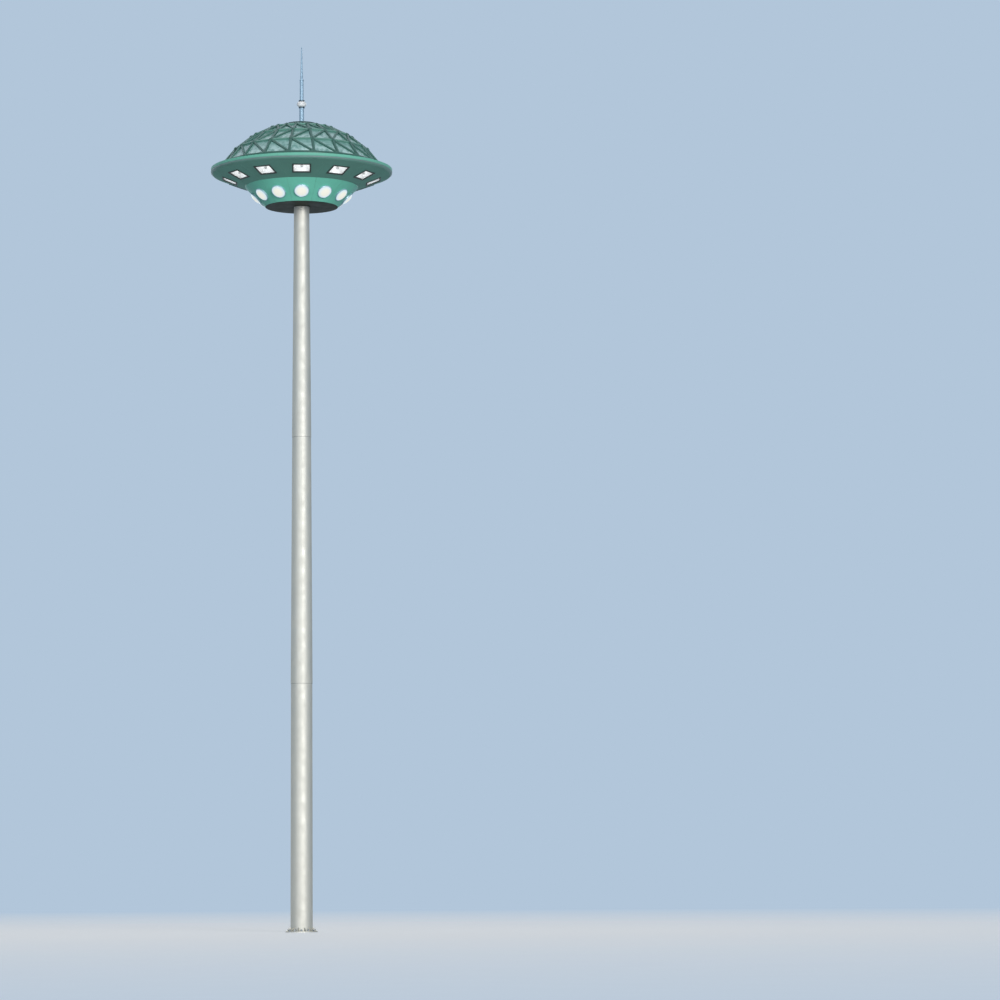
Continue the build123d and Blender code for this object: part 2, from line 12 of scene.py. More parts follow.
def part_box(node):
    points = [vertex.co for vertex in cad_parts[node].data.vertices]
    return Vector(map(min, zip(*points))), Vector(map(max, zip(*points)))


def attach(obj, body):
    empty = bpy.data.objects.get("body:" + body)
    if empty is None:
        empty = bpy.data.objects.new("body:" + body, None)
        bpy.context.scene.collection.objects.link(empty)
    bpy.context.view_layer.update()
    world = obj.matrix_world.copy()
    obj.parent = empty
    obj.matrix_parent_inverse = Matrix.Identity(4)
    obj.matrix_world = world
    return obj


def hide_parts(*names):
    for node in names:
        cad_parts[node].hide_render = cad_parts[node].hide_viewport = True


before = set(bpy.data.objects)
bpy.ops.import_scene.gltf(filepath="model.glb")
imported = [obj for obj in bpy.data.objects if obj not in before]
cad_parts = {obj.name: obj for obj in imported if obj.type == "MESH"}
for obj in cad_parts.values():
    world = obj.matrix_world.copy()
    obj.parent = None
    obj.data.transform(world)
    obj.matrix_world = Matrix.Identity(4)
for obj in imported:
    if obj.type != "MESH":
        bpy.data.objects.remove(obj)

# High mast floodlight tower: the finish of every surface, and the small pieces that dress the frame.
# Metres, +Z up, the front on -Y. The origin is the centre of the foot plate's underside.

Point = tuple[float, float]
Colour = tuple[float, float, float, float]
Socket = bpy.types.NodeSocket
Stud = tuple[Vector, Vector]

log = logging.getLogger("mast")
ROOT = "root"
CIRCLE = 2.0 * math.pi
FRONT = math.radians(-90.0)
UP = Vector((0.0, 0.0, 1.0))
SEAT_GAP = 0.0003
SHARP_ANGLE = 35.0
BLACK: Colour = (0.0, 0.0, 0.0, 1.0)
NUMBER = "NodeSocketFloat"
COUNT = "NodeSocketInt"


class Slot(Enum):
    """The record's material slots."""

    MAST = "mast_paint"
    HEAD = "head_paint"
    SOFFIT = "soffit_paint"
    PLATE = "plate_paint"
    LATTICE = "lattice_paint"
    PANES = "dome_glass"
    STEEL = "frame_steel"
    WINDOW = "window_paint"
    GLAZING = "window_glass"
    REFLECTOR = "reflector_white"
    LAMP = "lamp_grey"
    HOUSING = "housing_metal"
    LENS = "lens_glass"
    SPIRE = "spire_metal"
    BALL = "ball_paint"
    COLLAR = "collar_metal"
    LOCK = "lock_metal"


class Field(Enum):
    """Names of the attributes that the pieces carry for their finishes and their node trees."""

    RADIAL = "radial"
    TINT = "tint"
    OUT = "out"
    WIDTH = "width"
    PANE = "pane"
    # Painted light and shade: where a piece's paint takes its second colour. It is painted shade on the rim's
    # turned-under edge and a painted highlight on the dome's rings.
    SHADE = "painted_light_and_shade"
    ACROSS = "across"


def srgb(red: int, green: int, blue: int) -> Colour:
    """A colour written as screen values from 0 to 255.

    Args:
        red: Red channel.
        green: Green channel.
        blue: Blue channel.

    Returns:
        The linear colour that a shader takes.
    """
    linear = []
    for channel in (red, green, blue):
        value = channel / 255
        linear.append(value / 12.92 if value <= 0.04045 else ((value + 0.055) / 1.055) ** 2.4)
    return linear[0], linear[1], linear[2], 1.0


def scaled(colour: Colour, factor: float) -> Colour:
    """The colour made lighter or darker by a factor."""
    return colour[0] * factor, colour[1] * factor, colour[2] * factor, 1.0


def around(radius: float, turn: float, z: float = 0.0) -> Vector:
    """The point at a radius and an angle about an axis, and a height on it."""
    return Vector((radius * math.cos(turn), radius * math.sin(turn), z))


class Tree:
    """Short calls for building a tree of nodes, for a material or for geometry."""

    def __init__(self, tree: bpy.types.NodeTree) -> None:
        """Keeps the tree that the calls add to."""
        self.tree = tree

    def give(self, socket: Socket, value: Any) -> None:
        """Sets a socket, or links it to another node's output.

        Args:
            socket: The socket.
            value: Its plain value, or the output that feeds it.
        """
        if isinstance(value, Socket):
            self.tree.links.new(value, socket)
        else:
            socket.default_value = value

    def add(self, kind: str, inputs: dict[Any, Any] | None = None, **settings: Any) -> bpy.types.Node:
        """Adds one node.

        Args:
            kind: The node's type.
            inputs: Value or source socket for each input, by name or position.
            settings: The node's own properties.

        Returns:
            The new node.
        """
        node = self.tree.nodes.new(kind)
        for key, value in settings.items():
            setattr(node, key, value)
        for key, value in (inputs or {}).items():
            self.give(node.inputs[key], value)
        return node

    def first(self, kind: str, inputs: dict[Any, Any] | None = None, **settings: Any) -> Socket:
        """The first output of a new node."""
        return self.add(kind, inputs, **settings).outputs[0]

    def maths(self, operation: str, *values: Any) -> Socket:
        """The result of a maths node on its values or sockets."""
        return self.first("ShaderNodeMath", dict(enumerate(values)), operation=operation)

    def vector(self, operation: str, *values: Any) -> Socket:
        """The result of a vector maths node on its values or sockets."""
        return self.first("ShaderNodeVectorMath", dict(enumerate(values)), operation=operation)

    def length(self, value: Socket) -> Socket:
        """The length of a vector."""
        return self.add("ShaderNodeVectorMath", {0: value}, operation="LENGTH").outputs["Value"]

    def ranged(self, value: Socket, low: float, high: float, to_low: float, to_high: float) -> Socket:
        """The value carried over from one range to another, and clamped to it."""
        inputs = {"Value": value, "From Min": low, "From Max": high, "To Min": to_low, "To Max": to_high}
        return self.first("ShaderNodeMapRange", inputs)


@dataclass(frozen=True)
class Pattern:
    """A noise pattern.

    It has its spots to the metre, its levels of finer noise, the range of its values that counts, and
    how many times longer its spots are upwards than across.
    """

    scale: float
    detail: float
    low: float = 0.3
    high: float = 0.7
    stretch: float = 1.0


class Shader(Tree):
    """A material under construction, with the patterns that the finishes share."""

    def __init__(self, name: str) -> None:
        """Starts a material with a plain surface.

        Args:
            name: The material's name.
        """
        self.material = bpy.data.materials.new(f"{name} finish")
        self.material.use_nodes = True
        super().__init__(self.material.node_tree)
        self.surface = self.tree.nodes["Principled BSDF"]
        self.place = self.add("ShaderNodeTexCoord").outputs["Object"]

    def put(self, **values: Any) -> None:
        """Sets or links sockets of the surface shader, named with underscores for their spaces."""
        for key, value in values.items():
            self.give(self.surface.inputs[key.replace("_", " ")], value)

    def noise(self, pattern: Pattern) -> Socket:
        """A pattern's plain value in the object's own coordinates, around a half.

        Args:
            pattern: The pattern.

        Returns:
            Its value.
        """
        inputs = {"Vector": self.place, "Scale": (1.0, 1.0, 1.0 / pattern.stretch)}
        place = self.first("ShaderNodeMapping", inputs)
        inputs = {"Vector": place, "Scale": pattern.scale, "Detail": pattern.detail}
        return self.first("ShaderNodeTexNoise", inputs)

    def spots(self, pattern: Pattern, start: float = 0.0, end: float = 1.0) -> Socket:
        """A pattern's value, made to run from start to end over the range that counts."""
        return self.ranged(self.noise(pattern), pattern.low, pattern.high, start, end)

    def blend(self, factor: Any, start: Any, end: Any, kind: str = "MIX") -> Socket:
        """The first colour, mixed into the second by the factor."""
        inputs = {0: factor, 6: start, 7: end}
        return self.add("ShaderNodeMix", inputs, data_type="RGBA", blend_type=kind).outputs[2]

    def bump(self, height: Socket, depth: float) -> None:
        """Lets a pattern raise the surface by up to a depth in metres."""
        self.put(Normal=self.first("ShaderNodeBump", {"Height": height, "Distance": depth, "Strength": 1.0}))

    def facing_up(self) -> Socket:
        """How far the surface looks upwards, from -1 to 1."""
        normal = self.add("ShaderNodeNewGeometry").outputs["Normal"]
        return self.add("ShaderNodeSeparateXYZ", {0: normal}).outputs[2]

    def attribute(self, field: Field, output: str = "Fac") -> Socket:
        """The value of one of the piece's own attributes."""
        return self.add("ShaderNodeAttribute", attribute_name=field.value).outputs[output]


@dataclass(frozen=True)
class Paint:
    """Sprayed paint on metal, with weather on it. A second colour is mixed in where a piece is marked with
    painted light and shade.
    """

    slot: Slot
    colour: Colour
    roughness: float = 0.42
    metallic: float = 0.0
    mottle: float = 0.05
    streaks: float = 0.06
    dust: float = 0.25
    specular: float = 0.5
    edge_tint: float = 1.0
    second: Colour | None = None
    clouds: Pattern = Pattern(1.3, 4.0)
    rain: Pattern = Pattern(9.0, 2.0, 0.45, 0.75, 24.0)
    grime: Pattern = Pattern(0.9, 5.0, 0.35, 0.7)
    wear: Pattern = Pattern(2.6, 3.0)
    peel: Pattern = Pattern(170.0, 2.0)
    peel_depth: float = 0.00025
    dust_colour: Colour = srgb(150, 150, 138)
    streak_tone: float = 0.5
    thin_grime: float = 0.3
    dusty_slopes: Point = (0.2, 0.95)
    wear_range: Point = (-0.05, 0.07)

    def material(self) -> bpy.types.Material:
        """Builds the paint: mottled colour, rain streaks, dust on what faces up, and orange peel.

        Returns:
            The material.
        """
        s = Shader(self.slot.value)
        low, high = scaled(self.colour, 1.0 - self.mottle), scaled(self.colour, 1.0 + self.mottle)
        colour = s.blend(s.spots(self.clouds), low, high)
        if self.second:
            # Painted light and shade: the marked parts take the second colour, darker on the rim's
            # turned-under edge and lighter on the dome's rings.
            colour = s.blend(s.attribute(Field.SHADE), colour, self.second)
        rain = s.spots(self.rain, 0.0, self.streaks)
        colour = s.blend(rain, colour, scaled(self.dust_colour, self.streak_tone))
        patches = s.spots(self.grime, self.thin_grime, 1.0)
        flat = s.ranged(s.facing_up(), *self.dusty_slopes, 0.0, self.dust)
        colour = s.blend(s.maths("MULTIPLY", patches, flat), colour, self.dust_colour)
        rough = s.spots(self.wear, *(self.roughness + step for step in self.wear_range))
        s.put(Base_Color=colour, Roughness=rough, Metallic=self.metallic, Specular_IOR_Level=self.specular,
              Specular_Tint=(self.edge_tint, self.edge_tint, self.edge_tint, 1.0))
        s.bump(s.noise(self.peel), self.peel_depth)
        return s.material


@dataclass(frozen=True)
class Metal:
    """Bare or plated metal, with a grain or a crystal pattern."""

    slot: Slot
    colour: Colour
    roughness: float = 0.35
    metallic: float = 1.0
    grain: Pattern = Pattern(60.0, 4.0)
    contrast: float = 0.12
    relief: float = 0.0001
    wear_range: Point = (-0.06, 0.1)

    def material(self) -> bpy.types.Material:
        """Builds the metal: colour and roughness that follow the grain.

        Returns:
            The material.
        """
        s = Shader(self.slot.value)
        grain = s.spots(self.grain)
        colour = s.blend(grain, scaled(self.colour, 1.0 - self.contrast), self.colour)
        rough = s.ranged(grain, 0.0, 1.0, *(self.roughness + step for step in self.wear_range))
        s.put(Base_Color=colour, Roughness=rough, Metallic=self.metallic)
        s.bump(grain, self.relief)
        return s.material


@dataclass(frozen=True)
class DomeGlass:
    """Tinted glazing of the dome. Each pane differs a little, and has a painted pale reflection along its
    lower edge.
    """

    slot: Slot = Slot.PANES
    colour: Colour = srgb(102, 158, 147)
    light: Colour = srgb(124, 176, 168)
    # Painted reflection: a pale, patchy colour over each pane's lower part, standing in for the sky's
    # reflection.
    haze: Colour = srgb(214, 248, 246)
    haze_share: float = 0.95
    thin_haze: float = 0.1
    haze_heights: Point = (0.1, 1.05)
    clouds: Pattern = Pattern(6.0, 5.0, 0.34, 0.6)
    transmission: float = 0.15
    refraction: float = 1.5
    roughness: float = 0.2
    waves: Pattern = Pattern(1.6, 2.0)
    wave_depth: float = 0.004

    def material(self) -> bpy.types.Material:
        """Builds the glass from each pane's tint, with a painted reflection set by its height within the
        pane.

        Returns:
            The material.
        """
        s = Shader(self.slot.value)
        colour = s.blend(s.attribute(Field.TINT), self.colour, self.light)
        # Painted reflection, strongest at the foot of each pane.
        reflection_patches = s.spots(self.clouds, self.thin_haze, 1.0)
        foot = s.ranged(s.attribute(Field.PANE), *self.haze_heights, self.haze_share, self.thin_haze)
        colour = s.blend(s.maths("MULTIPLY", reflection_patches, foot), colour, self.haze)
        s.put(Base_Color=colour, Roughness=self.roughness, Transmission_Weight=self.transmission,
              IOR=self.refraction)
        s.bump(s.noise(self.waves), self.wave_depth)
        return s.material


@dataclass(frozen=True)
class ClearGlass:
    """Clear float glass over the reflectors."""

    slot: Slot = Slot.GLAZING
    colour: Colour = srgb(250, 252, 252)
    roughness: float = 0.04
    smeared_roughness: float = 0.12
    smears: Pattern = Pattern(7.0, 5.0, 0.4, 0.7)
    opacity: float = 0.25
    refraction: float = 1.02

    def material(self) -> bpy.types.Material:
        """Builds a thin clear sheet that lets straight light through.

        Returns:
            The material.
        """
        s = Shader(self.slot.value)
        smears = s.spots(self.smears, self.roughness, self.smeared_roughness)
        s.put(Base_Color=self.colour, Roughness=smears, Transmission_Weight=1.0, IOR=self.refraction,
              Alpha=self.opacity)
        return s.material


@dataclass(frozen=True)
class LitLens:
    """Frosted glass of a round floodlight, lit from behind."""

    slot: Slot = Slot.LENS
    middle: Colour = srgb(254, 252, 238)
    edge: Colour = srgb(226, 246, 254)
    edge_radii: Point = (0.55, 0.98)
    glow: float = 0.7
    body: float = 0.28
    roughness: float = 0.3
    frost: Pattern = Pattern(60.0, 2.0)
    frost_depth: float = 0.0004

    def material(self) -> bpy.types.Material:
        """Builds the glass: warm in the middle, cool towards its rim.

        Returns:
            The material.
        """
        s = Shader(self.slot.value)
        rim = s.ranged(s.attribute(Field.RADIAL), *self.edge_radii, 0.0, 1.0)
        colour = s.blend(rim, self.middle, self.edge)
        s.put(Base_Color=s.blend(self.body, BLACK, colour), Roughness=self.roughness, Emission_Color=colour,
              Emission_Strength=self.glow)
        s.bump(s.noise(self.frost), self.frost_depth)
        return s.material


@dataclass(frozen=True)
class LitEnamel:
    """White enamel of a reflector tray, lit by its lamp and dimmer towards its corners."""

    slot: Slot = Slot.REFLECTOR
    colour: Colour = srgb(250, 250, 248)
    glow: float = 0.55
    roughness: float = 0.3
    pool: Point = (0.75, 1.4)
    dimming: float = 0.5
    mottle: float = 0.05
    clouds: Pattern = Pattern(9.0, 3.0)
    peel: Pattern = Pattern(120.0, 2.0)
    peel_depth: float = 0.0002

    def material(self) -> bpy.types.Material:
        """Builds the enamel with a faint orange peel and the lamp's pool of light.

        Returns:
            The material.
        """
        s = Shader(self.slot.value)
        colour = s.blend(s.spots(self.clouds), scaled(self.colour, 1.0 - self.mottle), self.colour)
        reach = s.length(s.attribute(Field.ACROSS, "Vector"))
        colour = s.blend(s.ranged(reach, *self.pool, 0.0, self.dimming), colour, BLACK)
        s.put(Base_Color=colour, Roughness=self.roughness, Emission_Color=colour, Emission_Strength=self.glow)
        s.bump(s.noise(self.peel), self.peel_depth)
        return s.material


class Finishes:
    """Every finish of the tower, each built once."""

    soffit_tone: Colour = srgb(110, 158, 144)
    # Lighter paint for the dome's rings: a painted highlight where the light catches them.
    ring_tone: Colour = srgb(112, 166, 150)

    def __init__(self) -> None:
        """Builds the materials, by slot."""
        kinds = [
            Paint(Slot.MAST, srgb(200, 197, 187), roughness=0.63, metallic=1.0, mottle=0.02, streaks=0.05,
                  dust=0.3, specular=0.15, edge_tint=0.5),
            # The head's second colour is the soffit's tone on the rim's turned-under edge. It is partly a
            # real colour break and partly painted shade.
            Paint(Slot.HEAD, srgb(122, 210, 184), dust=0.3, mottle=0.04, streaks=0.05, specular=0.22,
                  edge_tint=0.2, second=self.soffit_tone),
            Paint(Slot.SOFFIT, self.soffit_tone, roughness=0.6, metallic=0.6, dust=0.1, mottle=0.06,
                  specular=0.1, edge_tint=0.5),
            Paint(Slot.PLATE, srgb(30, 40, 28), roughness=0.6, dust=0.0, specular=0.15),
            # The lattice's second colour is the rings' painted highlight.
            Paint(Slot.LATTICE, srgb(62, 108, 98), roughness=0.45, dust=0.2, second=self.ring_tone),
            DomeGlass(),
            Metal(Slot.STEEL, srgb(150, 154, 158), roughness=0.5, grain=Pattern(25.0, 4.0), contrast=0.2),
            Paint(Slot.WINDOW, srgb(36, 46, 42), roughness=0.5, dust=0.0),
            ClearGlass(),
            LitEnamel(),
            LitEnamel(Slot.LAMP, srgb(190, 190, 188), glow=0.3, roughness=0.5),
            Metal(Slot.HOUSING, srgb(190, 214, 228), metallic=0.6, grain=Pattern(40.0, 4.0)),
            LitLens(),
            # The spire's blue-grey is partly its steel's own colour and partly a painted reflection of the
            # pale sky.
            Metal(Slot.SPIRE, srgb(146, 172, 190), roughness=0.5, metallic=0.5, contrast=0.04,
                  relief=0.00002),
            Paint(Slot.BALL, srgb(246, 247, 247), roughness=0.25, dust=0.1, streaks=0.03, mottle=0.01),
            Metal(Slot.COLLAR, srgb(70, 84, 92), roughness=0.45),
            Metal(Slot.LOCK, srgb(200, 202, 204), roughness=0.18),
        ]
        self.materials = {kind.slot: kind.material() for kind in kinds}

    def __getitem__(self, slot: Slot) -> bpy.types.Material:
        """The material of a slot."""
        return self.materials[slot]


FINISHES = Finishes()


def show(mesh: bpy.types.Mesh, name: str) -> bpy.types.Object:
    """Links a mesh into the scene as an object at the origin.

    Args:
        mesh: The mesh, in the tower's own frame.
        name: The object's name.

    Returns:
        The linked object.
    """
    piece = bpy.data.objects.new(name, mesh)
    bpy.context.scene.collection.objects.link(piece)
    return piece


def as_mesh(shape: bmesh.types.BMesh, name: str) -> bpy.types.Mesh:
    """Turns a shape under construction into a mesh.

    Args:
        shape: The shape, which is given up.
        name: The mesh's name.

    Returns:
        The mesh.
    """
    mesh = bpy.data.meshes.new(name)
    shape.to_mesh(mesh)
    shape.free()
    return mesh


def soften(mesh: bpy.types.Mesh, angle: float) -> None:
    """Shades a mesh smooth, but for edges sharper than an angle in degrees."""
    mesh.polygons.foreach_set("use_smooth", [True] * len(mesh.polygons))
    mesh.set_sharp_from_angle(angle=math.radians(angle))


def mark(mesh: bpy.types.Mesh, field: Field, values: list[Any], domain: str = "POINT") -> None:
    """Stores an attribute on a mesh.

    Args:
        mesh: The mesh.
        field: The attribute's name.
        values: A number or a vector for each point or edge.
        domain: What the values belong to.
    """
    if isinstance(values[0], Vector):
        attribute = mesh.attributes.new(field.value, "FLOAT_VECTOR", domain)
        attribute.data.foreach_set("vector", [axis for value in values for axis in value])
    else:
        mesh.attributes.new(field.value, "FLOAT", domain).data.foreach_set("value", values)


def fit(piece: bpy.types.Object, slot: Slot, *nodes: str) -> None:
    """Gives a piece its finish and its place on the mast's body.

    Args:
        piece: The finished piece.
        slot: Its finish.
        nodes: The frame's nodes that it stands for.
    """
    piece.data.materials.clear()
    piece.data.materials.append(FINISHES[slot])
    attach(piece, ROOT)
    if nodes:
        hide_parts(*nodes)
    log.info("%s: %d faces, %s", piece.name, len(piece.data.polygons), slot.value)


@dataclass(frozen=True)
class EasedCopy:
    """A copy of one of the frame's nodes, with its sharp edges eased by a width, or by none.

    Vertices within the merging distance become one, and so do faces that turn by less than the flatness
    in degrees.
    """

    node: str
    name: str
    slot: Slot
    width: float = 0.0
    merging: float = 1e-5
    flatness: float = 0.4
    steps: int = 2

    def shape(self) -> bpy.types.Object:
        """Merges the node's triangles, and shades its round faces smooth.

        Returns:
            The copy, not yet finished.
        """
        solid = bmesh.new()
        solid.from_mesh(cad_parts[self.node].data)
        bmesh.ops.remove_doubles(solid, verts=solid.verts, dist=self.merging)
        bmesh.ops.dissolve_limit(solid, angle_limit=math.radians(self.flatness), verts=solid.verts,
                                 edges=solid.edges)
        mesh = as_mesh(solid, self.name)
        soften(mesh, SHARP_ANGLE)
        piece = show(mesh, self.name)
        if self.width:
            bevel = piece.modifiers.new("eased edges", "BEVEL")
            bevel.width = self.width
            bevel.segments = self.steps
            bevel.limit_method = "ANGLE"
            bevel.angle_limit = math.radians(SHARP_ANGLE)
        return piece

    def dress(self) -> None:
        """Puts the finished copy in the node's place."""
        fit(self.shape(), self.slot, self.node)


@dataclass(frozen=True)
class Lamp:
    """A soft, distant lamp.

    Its angles and its size are in degrees, and its azimuth runs from the camera's side to the right.
    """

    name: str
    azimuth: float
    elevation: float
    strength: float
    size: float

    def hang(self) -> None:
        """Adds the lamp to the scene."""
        data = bpy.data.lights.new(self.name, "SUN")
        data.energy = self.strength
        data.angle = math.radians(self.size)
        lamp = bpy.data.objects.new(self.name, data)
        azimuth, elevation = math.radians(self.azimuth), math.radians(self.elevation)
        level = math.cos(elevation)
        towards = Vector((math.sin(azimuth) * level, -math.cos(azimuth) * level, math.sin(elevation)))
        lamp.rotation_mode = "QUATERNION"
        lamp.rotation_quaternion = towards.to_track_quat("Z", "Y")
        bpy.context.scene.collection.objects.link(lamp)


@dataclass
class Studio:
    """The plain floor, the light and the camera."""

    camera_distance: float = 148.0
    camera_height: float = 1.8
    lens: float = 136.1
    sensor: float = 36.0
    sight: float = 1000.0
    pitch: float = math.radians(5.81)
    yaw: float = math.radians(3.019)
    lamps: tuple[Lamp, ...] = (Lamp("key", 18.0, 7.5, 2.15, 22.0), Lamp("fill", -30.0, 7.5, 0.64, 22.0),
                               Lamp("back", 200.0, 30.0, 0.6, 80.0))
    sky_colour: Colour = srgb(178, 198, 218)
    ambient: float = 0.1
    floor_radius: float = 260.0
    floor_sides: int = 128
    floor_fade: Point = (14.0, 130.0)
    floor_colour: Colour = srgb(222, 226, 230)
    bounce_colour: Colour = srgb(112, 116, 120)
    floor_lift: float = 0.55
    floor_patches: Pattern = Pattern(0.6, 3.0)
    floor_mottle: float = 0.02
    floor_roughness: float = 0.9
    floor_gloss: float = 0.1

    def camera(self) -> None:
        """Puts the camera where the photograph was taken from, at eye level."""
        data = bpy.data.cameras.new("camera")
        data.lens = self.lens
        data.sensor_width = self.sensor
        data.clip_end = self.sight
        camera = bpy.data.objects.new("camera", data)
        level = math.cos(self.pitch)
        forward = Vector((math.sin(self.yaw) * level, math.cos(self.yaw) * level, math.sin(self.pitch)))
        up = Vector((0.0, -forward.z, forward.y)).normalized()
        right = forward.cross(up)
        axes = Matrix((right, right.cross(forward), -forward)).transposed()
        stand = Matrix.Translation((0.0, -self.camera_distance, self.camera_height))
        camera.matrix_world = stand @ axes.to_4x4()
        bpy.context.scene.collection.objects.link(camera)
        bpy.context.scene.camera = camera

    def seen(self, tree: Tree) -> Socket:
        """Finds the rays that show the background: from the camera, off gloss and through glass.

        Args:
            tree: The tree that asks.

        Returns:
            1 for such rays, and 0 for those that only light.
        """
        rays = tree.add("ShaderNodeLightPath").outputs
        seen = tree.maths("MAXIMUM", rays["Is Camera Ray"], rays["Is Glossy Ray"])
        return tree.maths("MAXIMUM", seen, rays["Is Transmission Ray"])

    def sky(self) -> None:
        """Gives the world a plain pale colour, weaker where it only lights."""
        world = bpy.data.worlds.new("sky")
        world.use_nodes = True
        tree = Tree(world.node_tree)
        background = world.node_tree.nodes["Background"]
        tree.give(background.inputs["Color"], self.sky_colour)
        tree.give(background.inputs["Strength"], tree.ranged(self.seen(tree), 0.0, 1.0, self.ambient, 1.0))
        bpy.context.scene.world = world

    def floor(self) -> None:
        """Lays a plain round floor that fades into the sky's colour with distance."""
        disc = bmesh.new()
        bmesh.ops.create_circle(disc, cap_ends=True, segments=self.floor_sides, radius=self.floor_radius)
        piece = show(as_mesh(disc, "floor"), "floor")
        s = Shader("floor")
        fade = s.ranged(s.length(s.place), *self.floor_fade, 0.0, 1.0)
        patches = s.spots(self.floor_patches, 1.0 - self.floor_mottle, 1.0)
        pale = s.blend(1.0, self.floor_colour, patches, "MULTIPLY")
        seen = self.seen(s)
        s.put(Base_Color=s.blend(seen, self.bounce_colour, pale), Roughness=self.floor_roughness,
              Specular_IOR_Level=self.floor_gloss, Emission_Color=pale,
              Emission_Strength=s.maths("MULTIPLY", seen, self.floor_lift))
        haze = s.first("ShaderNodeEmission", {"Color": self.sky_colour, "Strength": 1.0})
        mixed = s.first("ShaderNodeMixShader", {0: fade, 1: s.surface.outputs[0], 2: haze})
        s.give(s.tree.nodes["Material Output"].inputs["Surface"], mixed)
        piece.data.materials.append(s.material)

    def build(self) -> None:
        """Sets up the whole studio."""
        self.camera()
        for lamp in self.lamps:
            lamp.hang()
        self.sky()
        self.floor()


def station(start: Point, end: Point, radius: float) -> Matrix:
    """The place of a piece on a sloping sheet of the head, on the +X side.

    Args:
        start: Radius and height of the sheet's lower edge.
        end: Radius and height of its upper edge.
        radius: Radius of the place on it.

    Returns:
        A frame whose x runs round the ring, y up the slope and z out of the head.
    """
    along = Vector((end[0] - start[0], 0.0, end[1] - start[1])).normalized()
    out = Vector((along.z, 0.0, -along.x))
    share = (radius - start[0]) / (end[0] - start[0])
    middle = Vector((radius, 0.0, start[1] + share * (end[1] - start[1])))
    axes = Matrix((out.cross(along) * -1.0, along, out)).transposed()
    return Matrix.Translation(middle) @ axes.to_4x4()


def outwards(place: Matrix) -> Vector:
    """The direction that looks out of the head at a place."""
    return place.col[2].to_3d()


def studs(place: Matrix, spots: list[Vector]) -> list[Stud]:
    """The spots on a sheet of the head, each with the direction out of it."""
    return [(place @ spot, outwards(place)) for spot in spots]


def lathe(name: str, outline: list[Point], sides: int, place: Matrix, sharp: float) -> bpy.types.Object:
    """A turned shape with a closed outline.

    Args:
        name: The piece's name.
        outline: Radius and height of each corner. Where the radius is 0, the shape closes in a point.
        sides: Sides of the turned shape.
        place: Where its axis stands.
        sharp: Degrees from which an edge counts as sharp.

    Returns:
        The piece, with each vertex's share of the greatest radius kept as an attribute.
    """
    shape = bmesh.new()
    rings = []
    for radius, z in outline:
        turns = [CIRCLE * i / sides for i in range(sides)] if radius else [0.0]
        rings.append([shape.verts.new(around(radius, turn, z)) for turn in turns])
    for lower, upper in zip(rings, rings[1:] + rings[:1]):
        if len(lower) == 1 and len(upper) == 1:
            continue
        for i in range(sides):
            j = (i + 1) % sides
            corners = [lower[i % len(lower)], lower[j % len(lower)],
                       upper[j % len(upper)], upper[i % len(upper)]]
            shape.faces.new(list(dict.fromkeys(corners)))
    bmesh.ops.recalc_face_normals(shape, faces=shape.faces)
    mesh = as_mesh(shape, name)
    widest = max(radius for radius, z in outline)
    mark(mesh, Field.RADIAL, [math.hypot(v.co.x, v.co.y) / widest for v in mesh.vertices])
    soften(mesh, sharp)
    mesh.transform(place)
    return show(mesh, name)


